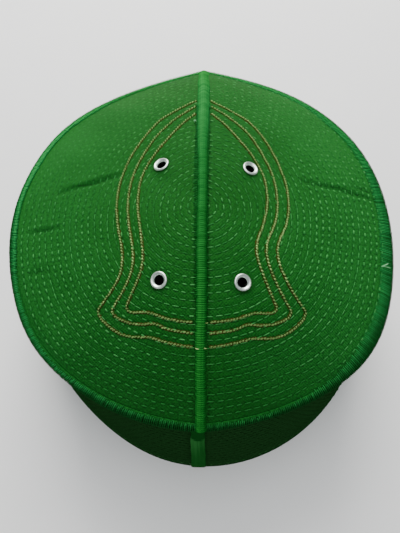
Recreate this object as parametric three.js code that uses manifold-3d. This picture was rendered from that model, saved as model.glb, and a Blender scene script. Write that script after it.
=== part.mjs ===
// A kufi, millimetres, +Z up, the front seam towards -Y, resting on its rim at z = 0.
import * as THREE from "three";
import Module from "manifold-3d";

const wasm = await Module();
wasm.setup();
const { Manifold, Mesh } = wasm;

// Sizes of the whole hat.
const ridgeHeight = 83;
const crownReach = 82;
const crownThickness = 2.2;
const bandThickness = 2.0;
const sewnGap = 0.3;

// How the crown drops away from its seam, in radians of slope.
const gableSlope = 0.258;
const sideBend = 0.001;
const seamBend = 0.389;
const frontLean = -0.226;
const sideEdgeBend = 0.106;
const seamEdgeBend = 0.234;
const frontEdgeLean = 0.2;
const cornerFullness = 0.198;

// The overlocked flange round the crown.
const flangeInner = 77;
const flangeThickness = 3.1;

// The oval that the band makes on the table.
const rimHalfWidth = 87;
const rimHalfLength = 94;

// Sewn strips on the seams.
const ribWidth = 4;
const ribHeight = 1.5;
const ribClimb = 0.4;
const stripWidth = 6.4;
const stripThickness = 0.8;
const stripFoot = 0.015;
const stripTop = 0.97;

// The eyelets, in a set of four, at their places on the flat crown cloth.
const eyeletBore = 1.9;
const eyeletBarrel = 2.3;
const eyeletFlange = 3.3;
const eyeletHole = 2.6;
const flangeSheet = 0.55;
const eyeletPlaces = [
  { name: "eyelet_back_left", across: -16.2, along: 20.3 },
  { name: "eyelet_back_right", across: 18.6, along: 19.1 },
  { name: "eyelet_front_left", across: -15.2, along: -27.4 },
  { name: "eyelet_front_right", across: 14.5, along: -28.0 },
];

const turn = Math.PI * 2;

// Slope of the crown cloth at a share of its reach, looking out along one direction.
function crownSlope(share, angle) {
  const side = Math.cos(angle) ** 2;
  const seam = Math.sin(angle) ** 2;
  const bend = sideBend * side + seamBend * seam + frontLean * Math.sin(angle);
  const edgeBend = sideEdgeBend * side + seamEdgeBend * seam + frontEdgeLean * Math.sin(angle);
  return gableSlope * Math.abs(Math.cos(angle)) + share * bend + share ** 3 * edgeBend;
}

// A point of the crown's outer face, by its distance along the cloth from the centre.
function crownPoint(reach, angle) {
  const steps = 24;
  let out = 0;
  let drop = 0;
  for (let i = 0; i < steps; i++) {
    const slope = crownSlope((reach / crownReach) * ((i + 0.5) / steps), angle);
    out += (Math.cos(slope) * reach) / steps;
    drop += (Math.sin(slope) * reach) / steps;
  }
  const along = (out * Math.sin(angle)) / crownReach;
  const fuller = 1 + cornerFullness * along * along;
  const x = out * Math.cos(angle) * fuller;
  return new THREE.Vector3(x, out * Math.sin(angle), ridgeHeight - drop);
}

// The outward normal of the crown's outer face, from two short steps on the cloth.
function crownNormal(reach, angle) {
  const middle = Math.max(reach, 1);
  const outward = crownPoint(middle + 0.5, angle).sub(crownPoint(middle - 0.5, angle));
  const around = crownPoint(middle, angle + 0.01).sub(crownPoint(middle, angle - 0.01));
  return outward.cross(around).normalize();
}

// A point set off from the crown's outer face along its normal.
function offCrown(reach, angle, height) {
  return crownNormal(reach, angle).multiplyScalar(height).add(crownPoint(reach, angle));
}

// Joins a row of equal closed outlines into one solid, as a ring or with two flat ends.
function sweep(outlines, ring) {
  const count = outlines[0].length;
  const spots = outlines.flat();
  const faces = [];
  const last = ring ? outlines.length : outlines.length - 1;
  for (let i = 0; i < last; i++) {
    const here = i * count;
    const next = ((i + 1) % outlines.length) * count;
    for (let j = 0; j < count; j++) {
      const k = (j + 1) % count;
      faces.push(here + j, here + k, next + k);
      faces.push(here + j, next + k, next + j);
    }
  }
  if (!ring) {
    const end = (outlines.length - 1) * count;
    for (let j = 1; j < count - 1; j++) {
      faces.push(0, j + 1, j);
      faces.push(end, end + j, end + j + 1);
    }
  }
  const mesh = new Mesh({
    numProp: 3,
    vertProperties: new Float32Array(spots.flatMap((spot) => [spot.x, spot.y, spot.z])),
    triVerts: new Uint32Array(faces),
  });
  mesh.merge();
  const solid = new Manifold(mesh);
  return solid.volume() > 0 ? solid : turnedOut(mesh);
}

// The same mesh with its faces turned the other way round.
function turnedOut(mesh) {
  const faces = mesh.triVerts;
  for (let i = 0; i < faces.length; i += 3) {
    const swap = faces[i + 1];
    faces[i + 1] = faces[i + 2];
    faces[i + 2] = swap;
  }
  return new Manifold(mesh);
}

// Crown cloth: one quilted sheet over the ridge, cut into its two half-discs.
function crownSheet() {
  const directions = 72;
  const reaches = [0.001, 8, 18, 28, 38, 48, 58, 67, 74, flangeInner - sewnGap];
  const outlines = [];
  for (let i = 0; i < directions; i++) {
    const angle = (i / directions) * turn;
    const top = reaches.map((reach) => crownPoint(reach, angle));
    top[0].set(0, 0, ridgeHeight);
    const under = reaches.map((reach) => offCrown(reach, angle, -crownThickness));
    under[0].set(0, 0, ridgeHeight - crownThickness);
    outlines.push([...top, ...under.reverse()]);
  }
  return sweep(outlines, true);
}

// The flange: crown edge and band edge laid together and overlocked into a soft lip.
function crownFlange() {
  const directions = 96;
  const outlines = [];
  for (let i = 0; i < directions; i++) {
    const angle = (i / directions) * turn;
    const outline = [
      offCrown(flangeInner, angle, 0.2),
      offCrown(crownReach - 1.6, angle, 0.3),
      offCrown(crownReach - 0.4, angle, -0.3),
      offCrown(crownReach, angle, -1.4),
      offCrown(crownReach - 0.5, angle, -2.5),
      offCrown(crownReach - 1.7, angle, -flangeThickness),
      offCrown(flangeInner, angle, -flangeThickness + 0.1),
    ];
    outlines.push(outline);
  }
  return sweep(outlines, true);
}

// The outer face of the band at one direction, from the rim (share 0) to its top (share 1).
function bandPoint(share, angle) {
  const top = offCrown(crownReach - 2.2, angle, -flangeThickness - sewnGap);
  const around = Math.atan2(top.y, top.x);
  const rim = new THREE.Vector3(rimHalfWidth * Math.cos(around), rimHalfLength * Math.sin(around), 0);
  const flare = 1 - (1 - share) ** 1.25;
  const x = rim.x + (top.x - rim.x) * flare;
  const y = rim.y + (top.y - rim.y) * flare;
  return new THREE.Vector3(x, y, top.z * share);
}

// The level direction out of the band's outer face.
function bandOutward(share, angle) {
  const around = bandPoint(share, angle + 0.01).sub(bandPoint(share, angle - 0.01));
  return new THREE.Vector3(around.y, -around.x, 0).normalize();
}

// A point set off from the band's outer face, level, outward when the distance is above zero.
function offBand(share, angle, distance) {
  return bandOutward(share, angle).multiplyScalar(distance).add(bandPoint(share, angle));
}

// Band cloth: one wall all round, cut at the front and back seams.
function bandWall() {
  const directions = 96;
  const shares = [0, 0.25, 0.5, 0.75, 1];
  const outlines = [];
  for (let i = 0; i < directions; i++) {
    const angle = (i / directions) * turn;
    const outer = shares.map((share) => offBand(share, angle, 0));
    const inner = shares.map((share) => offBand(share, angle, -bandThickness));
    outlines.push([...outer, ...inner.reverse()]);
  }
  return sweep(outlines, true);
}

// How far the rib is lifted where it climbs over the flange at either end.
function ribLift(reach) {
  const climb = THREE.MathUtils.smoothstep(reach, flangeInner - 4, flangeInner - 0.5);
  return sewnGap + ribClimb * climb;
}

// The raised rib that covers the crown seam, a rounded bar straddling the ridge.
function crownRib() {
  const stations = 44;
  const length = crownReach - 0.6;
  const sideDrop = (gableSlope * ribWidth) / 2;
  const outlines = [];
  for (let i = 0; i <= stations; i++) {
    const along = length * ((i / stations) * 2 - 1);
    const reach = Math.abs(along);
    const angle = along < 0 ? -Math.PI / 2 : Math.PI / 2;
    const middle = crownPoint(reach, angle);
    const ahead = crownPoint(reach + 0.5, angle);
    const tilt = Math.atan2(middle.z - ahead.z, Math.abs(ahead.y - middle.y));
    const up = new THREE.Vector3(0, Math.sin(tilt) * Math.sign(along), Math.cos(tilt));
    const foot = ribLift(reach);
    const place = (x, height) => {
      const spot = middle.clone().addScaledVector(up, foot + height);
      spot.x += x * ribWidth;
      return spot;
    };
    outlines.push([
      place(0, 0),
      place(0.5, -sideDrop),
      place(0.46, ribHeight * 0.5),
      place(0.27, ribHeight * 0.9),
      place(0, ribHeight),
      place(-0.27, ribHeight * 0.9),
      place(-0.46, ribHeight * 0.5),
      place(-0.5, -sideDrop),
    ]);
  }
  return sweep(outlines, false);
}

// A flat strip sewn over one of the band's seams.
function bandStrip(middleAngle) {
  const rows = 8;
  const clear = sewnGap + 0.25;
  const outlines = [];
  for (let i = 0; i <= rows; i++) {
    const share = stripFoot + (stripTop - stripFoot) * (i / rows);
    const corners = [
      { across: -0.5, out: clear },
      { across: 0.5, out: clear },
      { across: 0.5, out: clear + stripThickness * 0.6 },
      { across: 0.38, out: clear + stripThickness },
      { across: -0.38, out: clear + stripThickness },
      { across: -0.5, out: clear + stripThickness * 0.6 },
    ];
    const outline = corners.map((corner) => {
      const spot = offBand(share, middleAngle, corner.out);
      spot.x += corner.across * stripWidth;
      return spot;
    });
    outlines.push(outline);
  }
  return sweep(outlines, false);
}

// Turns a piece drawn on +Z at the origin to stand on the crown at a place of the flat cloth.
function standOnCrown(solid, place) {
  const reach = Math.hypot(place.across, place.along);
  const angle = Math.atan2(place.along, place.across);
  const turnUp = new THREE.Quaternion();
  turnUp.setFromUnitVectors(new THREE.Vector3(0, 0, 1), crownNormal(reach, angle));
  const matrix = new THREE.Matrix4().makeRotationFromQuaternion(turnUp);
  matrix.setPosition(crownPoint(reach, angle));
  return solid.transform(matrix.toArray());
}

// One eyelet: a barrel through the cloth with a domed flange outside and a flat one inside.
function eyelet() {
  const outside = new THREE.Vector2(0, sewnGap);
  const inside = new THREE.Vector2(0, -crownThickness - sewnGap);
  const outline = [
    [eyeletBore, inside.y - flangeSheet],
    [eyeletFlange - 0.3, inside.y - flangeSheet],
    [eyeletFlange - 0.3, inside.y],
    [eyeletBarrel, inside.y],
    [eyeletBarrel, outside.y],
    [eyeletFlange, outside.y],
    [eyeletFlange, outside.y + 0.2],
    [eyeletFlange - 0.6, outside.y + flangeSheet + 0.15],
    [eyeletBore + 0.5, outside.y + flangeSheet + 0.15],
    [eyeletBore, outside.y + 0.2],
  ];
  return Manifold.revolve([outline], 20);
}

// A named mesh with its own material.
function piece(name, solid, color, metalness) {
  const mesh = solid.getMesh();
  const geometry = new THREE.BufferGeometry();
  geometry.setAttribute("position", new THREE.BufferAttribute(new Float32Array(mesh.vertProperties), 3));
  geometry.setIndex(new THREE.BufferAttribute(new Uint32Array(mesh.triVerts), 1));
  geometry.computeVertexNormals();
  const material = new THREE.MeshStandardMaterial({ color, metalness, roughness: metalness ? 0.35 : 0.9 });
  const result = new THREE.Mesh(geometry, material);
  result.name = name;
  return result;
}

const green = 0x18702c;
const deepGreen = 0x145c26;
const silver = 0xc9ccd0;

let crown = crownSheet();
for (const place of eyeletPlaces) {
  const drill = Manifold.cylinder(12, eyeletHole, eyeletHole, 20, true);
  crown = crown.subtract(standOnCrown(drill, place));
}
const band = bandWall();

const hat = new THREE.Group();
hat.name = "kufi";
hat.add(piece("crown_left", crown.trimByPlane([-1, 0, 0], sewnGap / 2), green, 0));
hat.add(piece("crown_right", crown.trimByPlane([1, 0, 0], sewnGap / 2), green, 0));
hat.add(piece("seam_rib", crownRib(), green, 0));
hat.add(piece("crown_flange", crownFlange(), green, 0));
hat.add(piece("band_left", band.trimByPlane([-1, 0, 0], sewnGap / 2), deepGreen, 0));
hat.add(piece("band_right", band.trimByPlane([1, 0, 0], sewnGap / 2), deepGreen, 0));
hat.add(piece("front_seam_strip", bandStrip(-Math.PI / 2), green, 0));
hat.add(piece("back_seam_strip", bandStrip(Math.PI / 2), green, 0));
for (const place of eyeletPlaces) {
  hat.add(piece(place.name, standOnCrown(eyelet(), place), silver, 1));
}

export default hat;
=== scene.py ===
import math

import bpy
import numpy as np
from mathutils import Matrix, Vector


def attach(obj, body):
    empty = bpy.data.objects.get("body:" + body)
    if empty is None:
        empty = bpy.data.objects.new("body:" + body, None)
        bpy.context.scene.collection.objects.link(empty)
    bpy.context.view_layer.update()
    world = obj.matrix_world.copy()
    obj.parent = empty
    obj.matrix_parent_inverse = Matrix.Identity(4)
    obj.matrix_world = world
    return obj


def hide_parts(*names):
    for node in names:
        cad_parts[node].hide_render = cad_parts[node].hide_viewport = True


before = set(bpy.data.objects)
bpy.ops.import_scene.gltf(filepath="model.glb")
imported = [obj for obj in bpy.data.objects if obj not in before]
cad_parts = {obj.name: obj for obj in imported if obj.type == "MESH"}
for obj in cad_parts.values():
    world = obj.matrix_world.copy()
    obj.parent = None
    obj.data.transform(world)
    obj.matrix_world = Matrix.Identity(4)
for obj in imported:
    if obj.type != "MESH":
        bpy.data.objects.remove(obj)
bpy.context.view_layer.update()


# The camera is a phone held about thirteen centimetres over the crown, towards the front of
# the hat, and tipped steeply down, so that the crown fills the picture and hides the sides.
camera_place = (0.0012, -0.0721, 0.2105)
camera_tip = 1.2096
camera_turn = 0.0361
camera_lean = -0.0259

camera_data = bpy.data.cameras.new("camera")
camera_data.sensor_fit = "HORIZONTAL"
camera_data.sensor_width = 36.0
camera_data.lens = 36.0
camera_data.clip_start = 0.005
camera = bpy.data.objects.new("camera", camera_data)
bpy.context.scene.collection.objects.link(camera)
camera.matrix_world = (
    Matrix.Translation(camera_place)
    @ Matrix.Rotation(camera_turn, 4, "Z")
    @ Matrix.Rotation(math.pi / 2 - camera_tip, 4, "X")
    @ Matrix.Rotation(camera_lean, 4, "Z")
)
bpy.context.scene.camera = camera


# The crown is two half-discs of green quilted cotton that meet in a low ridge. Each half is two
# faces of cloth on a stiff layer, sewn through in rings, so the cloth puffs between the rings.
# Sizes are in millimetres, and the curve is the one that the solids have.
crown_reach = 82.0
ridge_height = 83.0
crown_thickness = 2.2
crown_cloth_reach = 78.4
row_spacing = 2.708
row_count = 28
groove_depth = 0.10
half_gap = 0.15

gable_slope = 0.258
side_bend = 0.001
seam_bend = 0.389
front_lean = -0.226
side_edge_bend = 0.106
seam_edge_bend = 0.234
front_edge_lean = 0.2
corner_fullness = 0.198
lip_cover_starts = 3.0
lip_cover_full = 0.4

# Where the edge stands further out than the plain curve, by its way round in radians.
edge_swellings = [
    {"angle": -0.66, "width": 0.34, "more": 0.024},
    {"angle": 1.13, "width": 0.36, "more": 0.020},
    {"angle": 2.42, "width": 0.28, "more": 0.008},
    {"angle": 3.10, "width": 0.40, "more": 0.026},
    {"angle": 3.75, "width": 0.30, "more": 0.014},
    {"angle": 4.71, "width": 0.50, "more": 0.007},
]

crown_creases = [
    {"from": (-60.5, 14.0), "to": (-34.0, 18.4), "depth": 1.25, "width": 1.35},
    {"from": (-73.0, -2.9), "to": (-59.5, -2.2), "depth": 0.85, "width": 1.1},
    {"from": (-71.0, -20.2), "to": (-61.5, -19.2), "depth": 0.4, "width": 1.1},
    {"from": (41.0, 17.3), "to": (75.5, 14.3), "depth": 0.95, "width": 1.3},
    {"from": (63.0, 19.6), "to": (75.0, 17.6), "depth": 0.45, "width": 1.2},
]

# The back eyelets tip outwards with the cloth round them, more than the crown's curve does.
eyelet_hole = 2.45
eyelet_places = [
    {"node": "eyelet_back_left", "across": -16.2, "along": 20.3, "tip": 0.17},
    {"node": "eyelet_back_right", "across": 18.6, "along": 19.1, "tip": 0.15},
    {"node": "eyelet_front_left", "across": -15.2, "along": -27.4, "tip": 0.0},
    {"node": "eyelet_front_right", "across": 14.5, "along": -28.0, "tip": 0.0},
]

# The gold figure's three lines on one half, by how far they run from the seam and along it.
figure_lines = [
    {
        "side": [(2.7, 52.8), (10, 48.8), (18, 43.5), (24.5, 35), (30, 25), (33.4, 14.8), (34.3, 5),
                 (33, -4), (29.9, -13.5), (29.6, -21), (32.6, -28.4), (38.6, -37.2)],
        "hem": [(38.6, -37.2), (37.2, -40.2), (32, -44.8), (25.9, -47.4), (18, -47.8), (13, -49.1),
                (7.8, -50.3), (2.7, -51)],
    },
    {
        "side": [(3, 49), (10.5, 43.7), (18, 36.3), (24.3, 26), (28.3, 16.4), (29.6, 6),
                 (28.6, -3.4), (25.4, -14), (25.3, -21), (28, -28.6), (32.9, -37.5)],
        "hem": [(32.9, -37.5), (31.2, -40), (26, -42.4), (20.5, -43.1), (16, -42.9), (10.9, -45),
                (2.7, -46.2)],
    },
    {
        "side": [(3, 44.7), (9, 39), (14.3, 32.6), (19, 26.5), (22.6, 20.5), (24.8, 14),
                 (25.5, 5), (24.1, -4), (21.4, -14.5), (21.5, -21), (23.8, -28), (27.4, -36.7)],
        "hem": [(27.4, -36.7), (25.2, -38.5), (18.4, -38.9), (12.6, -40.9), (7, -42), (2.9, -42.5)],
    },
]

figure_waist_along = -18.0
figure_waist_width = 11.0


def fall_off(distance, width):
    """One at no distance, falling to nothing beyond a width."""
    return np.exp(-((distance / width) ** 2))


def bulge(angle, middle, width):
    """One near an angle round the crown, falling to nothing beyond a width."""
    return fall_off((angle - middle + np.pi) % (2 * np.pi) - np.pi, width)


def crown_slope(share, angle):
    """How steeply the crown falls at a share of its reach, in radians."""
    side = np.cos(angle) ** 2
    seam = np.sin(angle) ** 2
    bend = side_bend * side + seam_bend * seam + front_lean * np.sin(angle)
    edge_bend = side_edge_bend * side + seam_edge_bend * seam + front_edge_lean * np.sin(angle)
    return gable_slope * np.abs(np.cos(angle)) + share * bend + share**3 * edge_bend


def crown_point(reach, angle):
    """A point on the crown's plain curve, by how far the cloth reaches from the middle to it."""
    reach, angle = np.broadcast_arrays(np.asarray(reach, float), np.asarray(angle, float))
    steps = 24
    out = np.zeros(reach.shape)
    drop = np.zeros(reach.shape)
    for i in range(steps):
        slope = crown_slope(reach / crown_reach * (i + 0.5) / steps, angle)
        out += np.cos(slope) * reach / steps
        drop += np.sin(slope) * reach / steps
    fuller = 1 + corner_fullness * (out * np.sin(angle) / crown_reach) ** 2
    for swelling in edge_swellings:
        more = swelling["more"] * bulge(angle, swelling["angle"], swelling["width"])
        out = out * (1 + more * (reach / crown_reach) ** 4)
    return np.stack([out * np.cos(angle) * fuller, out * np.sin(angle), ridge_height - drop], -1)


def unit(vectors):
    return vectors / np.maximum(np.linalg.norm(vectors, axis=-1, keepdims=True), 1e-9)


def crown_normal(reach, angle):
    middle = np.maximum(reach, 1.0)
    outward = crown_point(middle + 0.5, angle) - crown_point(middle - 0.5, angle)
    around = crown_point(middle, angle + 0.01) - crown_point(middle, angle - 0.01)
    return unit(np.cross(outward, around))


def off_crown(reach, angle, height):
    """A point square off the crown's curve by a height."""
    height = np.asarray(height, float)
    return crown_point(reach, angle) + crown_normal(reach, angle) * height[..., None]


def on_cloth(across, along, height):
    """Like off_crown, by how far a flat place lies from the seam and along it."""
    return off_crown(np.hypot(across, along), np.arctan2(along, across), height)


def smooth_step(values, low, high):
    """Nothing below the low value, one above the high one, and a soft rise between them."""
    share = np.clip((values - low) / (high - low), 0, 1)
    return share * share * (3 - 2 * share)


def smooth_line(corners, spacing):
    """Points at an even spacing on a smooth curve through the corners."""
    ends = [2 * np.array(corners[0]) - corners[1]]
    far = [2 * np.array(corners[-1]) - corners[-2]]
    knots = np.array(ends + [np.array(c, float) for c in corners] + far, float)
    share = np.linspace(0, 1, 24, endpoint=False)[:, None]
    dense = []
    for a, b, c, d in zip(knots, knots[1:], knots[2:], knots[3:]):
        curve = 2 * b + (c - a) * share
        curve = curve + (2 * a - 5 * b + 4 * c - d) * share**2
        curve = curve + (3 * b - a - 3 * c + d) * share**3
        dense.append(curve / 2)
    dense = np.vstack(dense + [knots[-2:-1]])
    lengths = np.linalg.norm(np.diff(dense, axis=0), axis=1)
    walked = np.concatenate([[0], np.cumsum(lengths)])
    stops = np.linspace(0, walked[-1], max(2, int(round(walked[-1] / spacing)) + 1))
    return np.stack([np.interp(stops, walked, dense[:, i]) for i in range(dense.shape[1])], -1)


def figure_path(stroke, side, spacing):
    """One line of the figure on one half. The halves were sewn apart, so their waists differ."""
    path = smooth_line(stroke, spacing)
    waist = fall_off(path[:, 1] - figure_waist_along, figure_waist_width)
    path[:, 0] += (-0.85 if side > 0 else 0.75) * waist
    path[:, 1] += 2.1 * side * waist
    path[:, 0] *= side
    return path


def figure_strokes(side, spacing):
    """Every line of the figure on one half, first along the side and then along the hem."""
    for line in figure_lines:
        yield figure_path(line["side"], side, spacing)
        yield figure_path(line["hem"], side, spacing)


def distance_to_line(across, along, line):
    """How far flat places lie from the nearest point of a line."""
    flat = np.stack([across.ravel(), along.ravel()], -1)
    nearest = np.full(len(flat), 1e9)
    for part in np.array_split(line, max(1, len(line) // 60)):
        gaps = np.linalg.norm(flat[:, None, :] - part[None, :, :], axis=-1)
        nearest = np.minimum(nearest, gaps.min(axis=1))
    return nearest.reshape(across.shape)


def soft_waves(across, along):
    """Slow uneven swellings, as cloth has after long wear and pressing by hand."""
    waves = 0.20 * np.sin(across / 9.1 + 1.3) * np.sin(along / 11.3 + 0.4)
    waves = waves + 0.16 * np.sin((across + along) / 6.7 + 2.1) * np.sin((across - along) / 13.0)
    return waves + 0.07 * np.sin(across / 3.1 + along / 4.9) * np.sin(along / 3.7 - 0.8)


def rib_half_width(along):
    """Half the width of the rib over the seam, which was sewn wider towards the back."""
    return 1.95 + 0.65 * smooth_step(np.asarray(along, float), 0, 78)


def sewn_groove(row):
    """One on each row of stitches, and nothing halfway between two rows."""
    return (0.5 + 0.5 * np.cos(2 * np.pi * row)) ** 2.5


def add_creases(across, along, relief, dark_and_shade):
    """Folds that were pressed into the cloth, each with a low swelling to both sides and painted
    shade along the fold.
    """
    for crease in crown_creases:
        line = smooth_line([crease["from"], crease["to"]], 0.6)
        middle = line[len(line) // 2]
        half = np.linalg.norm(line[-1] - line[0]) / 2
        gap = distance_to_line(across, along, line)
        ease = np.clip(1 - np.hypot(across - middle[0], along - middle[1]) / (half * 1.25), 0, 1)
        fold = fall_off(gap, crease["width"]) * np.sqrt(ease)
        swell = fall_off(gap, crease["width"] * 3.2) * ease
        relief = relief - crease["depth"] * fold + 0.35 * crease["depth"] * swell
        dark_and_shade = dark_and_shade + 0.7 * fold
    return relief, dark_and_shade


def add_figure_furrows(across, along, side, relief, dark_and_shade):
    """Where the figure's stitches draw the cloth in along their lines, with painted shade along
    them.
    """
    for path in figure_strokes(side, 0.8):
        sewn = fall_off(distance_to_line(across, along, path), 0.8)
        relief = relief - 0.22 * sewn
        dark_and_shade = dark_and_shade + 0.6 * sewn
    return relief, dark_and_shade


def press_round_eyelets(across, along, relief, dark_and_shade):
    """Where the eyelets press the cloth flat, and the back ones tip it with them. A ring of painted
    shade lies round each eyelet.
    """
    for place in eyelet_places:
        gap = np.hypot(across - place["across"], along - place["along"])
        pressed = np.exp(-((gap / 4.2) ** 4))
        tipped = np.exp(-((gap / 5.2) ** 4))
        outward = np.array([place["across"], place["along"]])
        outward = outward / np.linalg.norm(outward)
        beyond = (across - place["across"]) * outward[0] + (along - place["along"]) * outward[1]
        relief = relief * (1 - pressed) - 0.12 * fall_off(gap, 6.5)
        relief = relief - place["tip"] * beyond * tipped
        dark_and_shade = dark_and_shade + 0.5 * fall_off(gap - 4.0, 0.7)
    return relief, dark_and_shade


def crown_relief(across, along, side):
    """Height of the cloth over the plain curve, and how much painted shade it has: in the sewn
    grooves, beside the rib, in the creases, along the figure and round the eyelets.
    """
    reach = np.hypot(across, along)
    row = reach / row_spacing
    groove_and_shade = sewn_groove(row) * smooth_step(row, 0.4, 1.0) * (1 - 0.6 * smooth_step(along, 5, 50))
    relief = -groove_depth * groove_and_shade + soft_waves(across, along) * smooth_step(reach, 3, 14)

    # Beside the rib the cloth is drawn down, at the back only between the rings of stitches, and
    # painted shade lies there too.
    gap = np.abs(across) - rib_half_width(along)
    beside_rib = fall_off(gap - 0.5, 0.6) * (1 - 0.9 * smooth_step(along, 38, 52))
    beside_rib = beside_rib * (1 if side > 0 else 0.75)
    pits = 0.5 - 0.5 * np.cos(2 * np.pi * row)
    at_back = smooth_step(along, 0, 30)
    relief = relief - 0.3 * beside_rib * (1 - at_back * (1 - pits))
    dark_and_shade = 0.35 * groove_and_shade + beside_rib * (0.55 + 0.35 * pits - 0.45 * at_back * (1 - pits))
    relief, dark_and_shade = add_creases(across, along, relief, dark_and_shade)
    relief, dark_and_shade = add_figure_furrows(across, along, side, relief, dark_and_shade)
    relief, dark_and_shade = press_round_eyelets(across, along, relief, dark_and_shade)
    return relief, np.clip(dark_and_shade, 0, 1)


def make_piece(name, points, faces, place_on_cloth=None, marks=None):
    """A smooth mesh from points in millimetres, with the cloth's flat places and its marks."""
    mesh = bpy.data.meshes.new(name)
    mesh.from_pydata((np.asarray(points) * 0.001).tolist(), [], faces)
    mesh.polygons.foreach_set("use_smooth", [True] * len(mesh.polygons))
    if place_on_cloth is not None:
        corners = np.zeros(len(mesh.loops), dtype=np.int32)
        mesh.loops.foreach_get("vertex_index", corners)
        layer = mesh.uv_layers.new(name="cloth")
        layer.data.foreach_set("uv", np.asarray(place_on_cloth, float)[corners].ravel())
    for mark, values in (marks or {}).items():
        layer = mesh.attributes.new(mark, "FLOAT", "POINT")
        layer.data.foreach_set("value", np.asarray(values, float).ravel())
    mesh.validate()
    mesh.update()
    piece = bpy.data.objects.new(name, mesh)
    bpy.context.scene.collection.objects.link(piece)
    return piece


def joined_rows(rows, columns, wrap_rows=False, wrap_columns=False, first=0):
    """Four-cornered faces that join a grid of points, row by row."""
    row = np.arange(rows if wrap_rows else rows - 1)
    column = np.arange(columns if wrap_columns else columns - 1)
    row, column = (grid.ravel() for grid in np.meshgrid(row, column, indexing="ij"))
    next_row = (row + 1) % rows
    next_column = (column + 1) % columns
    corners = [
        row * columns + column,
        row * columns + next_column,
        next_row * columns + next_column,
        next_row * columns + column,
    ]
    return (np.stack(corners, -1) + first).tolist()


def new_group(name, inputs, outputs):
    """A shader group with named inputs and outputs, and its two end nodes."""
    group = bpy.data.node_groups.new(name, "ShaderNodeTree")
    for label, kind, value in inputs:
        socket = group.interface.new_socket(label, in_out="INPUT", socket_type=kind)
        socket.default_value = value
    for label, kind in outputs:
        group.interface.new_socket(label, in_out="OUTPUT", socket_type=kind)
    return group, group.nodes.new("NodeGroupInput"), group.nodes.new("NodeGroupOutput")


def math_node(tree, operation, *values):
    """A maths node on sockets or plain numbers, and its result."""
    node = tree.nodes.new("ShaderNodeMath")
    node.operation = operation
    for i, value in enumerate(values):
        if isinstance(value, (int, float)):
            node.inputs[i].default_value = value
        else:
            tree.links.new(value, node.inputs[i])
    return node.outputs[0]


def mix_colours(tree, share, first, second, blend="MIX"):
    """One colour over another by a share, each a socket or a plain colour."""
    node = tree.nodes.new("ShaderNodeMix")
    node.data_type = "RGBA"
    node.blend_type = blend
    for input_number, value in ((0, share), (6, first), (7, second)):
        socket = node.inputs[input_number]
        if isinstance(value, (int, float, tuple)):
            socket.default_value = value
        else:
            tree.links.new(value, socket)
    return node.outputs[2]


def noise_node(tree, place, scale, detail=3.0, roughness=0.55):
    """Noise over a place socket, and its even-sided value."""
    node = tree.nodes.new("ShaderNodeTexNoise")
    node.inputs["Scale"].default_value = scale
    node.inputs["Detail"].default_value = detail
    node.inputs["Roughness"].default_value = roughness
    tree.links.new(place, node.inputs["Vector"])
    return node.outputs["Fac"]


pattern_outputs = [
    ("Colour", "NodeSocketColor"),
    ("Height", "NodeSocketFloat"),
    ("Roughness", "NodeSocketFloat"),
]

# The weave: threads under and over each other on the cloth's own flat places, with slubs,
# fibre fuzz and faded patches, with painted light where the mesh marks it, and painted shade
# in the fuzz's hollows and in the sewn grooves, creases and other places that the mesh marks.
weave, weave_in, weave_out = new_group(
    "cotton weave",
    [
        ("Colour", "NodeSocketColor", (0.02, 0.2, 0.03, 1)),
        ("Dark And Shade Colour", "NodeSocketColor", (0.01, 0.08, 0.01, 1)),
        ("Faded And Lit Colour", "NodeSocketColor", (0.05, 0.25, 0.06, 1)),
        ("Threads Per Millimetre", "NodeSocketFloat", 1.6),
        ("Groove Shade", "NodeSocketFloat", 0.5),
    ],
    pattern_outputs,
)
weave_place = weave.nodes.new("ShaderNodeUVMap")
weave_place.uv_map = "cloth"
weave_split = weave.nodes.new("ShaderNodeSeparateXYZ")
weave.links.new(weave_place.outputs[0], weave_split.inputs[0])
weave_turns = math_node(weave, "MULTIPLY", weave_in.outputs["Threads Per Millimetre"], math.pi)
warp = math_node(weave, "SINE", math_node(weave, "MULTIPLY", weave_split.outputs[0], weave_turns))
weft = math_node(weave, "SINE", math_node(weave, "MULTIPLY", weave_split.outputs[1], weave_turns))
crossing = math_node(weave, "MULTIPLY", warp, weft)
fuzz = noise_node(weave, weave_place.outputs[0], 1.25, 4.0, 0.68)
patches = noise_node(weave, weave_place.outputs[0], 0.045, 3.0, 0.5)
slubs = noise_node(weave, weave_place.outputs[0], 0.55, 2.0, 0.5)
weave_high = math_node(weave, "MULTIPLY", crossing, 0.35)
weave_high = math_node(weave, "ADD", weave_high, math_node(weave, "MULTIPLY", fuzz, 0.9))
weave_high = math_node(weave, "ADD", weave_high, math_node(weave, "MULTIPLY", slubs, 0.5))
weave.links.new(weave_high, weave_out.inputs["Height"])
# Painted light: where the mesh has a light mark, the cloth turns to its faded and lit colour, as it
# does in the faded patches.
painted_light_mark = weave.nodes.new("ShaderNodeAttribute")
painted_light_mark.attribute_name = "painted_light"
faded_and_lit = math_node(weave, "MULTIPLY", math_node(weave, "SUBTRACT", patches, 0.4), 1.2)
faded_and_lit = math_node(weave, "ADD", faded_and_lit, painted_light_mark.outputs["Fac"])
faded_and_lit_clamped = math_node(weave, "MINIMUM", math_node(weave, "MAXIMUM", faded_and_lit, 0.0), 1.0)
cloth_colour = mix_colours(
    weave, faded_and_lit_clamped, weave_in.outputs["Colour"], weave_in.outputs["Faded And Lit Colour"]
)
# Painted shade: where the mesh marks grooves and shade, the cloth turns to its dark and shade
# colour.
painted_shade_mark = weave.nodes.new("ShaderNodeAttribute")
painted_shade_mark.attribute_name = "groove_and_shade"
shaded = math_node(weave, "MULTIPLY", painted_shade_mark.outputs["Fac"], weave_in.outputs["Groove Shade"])
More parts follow.
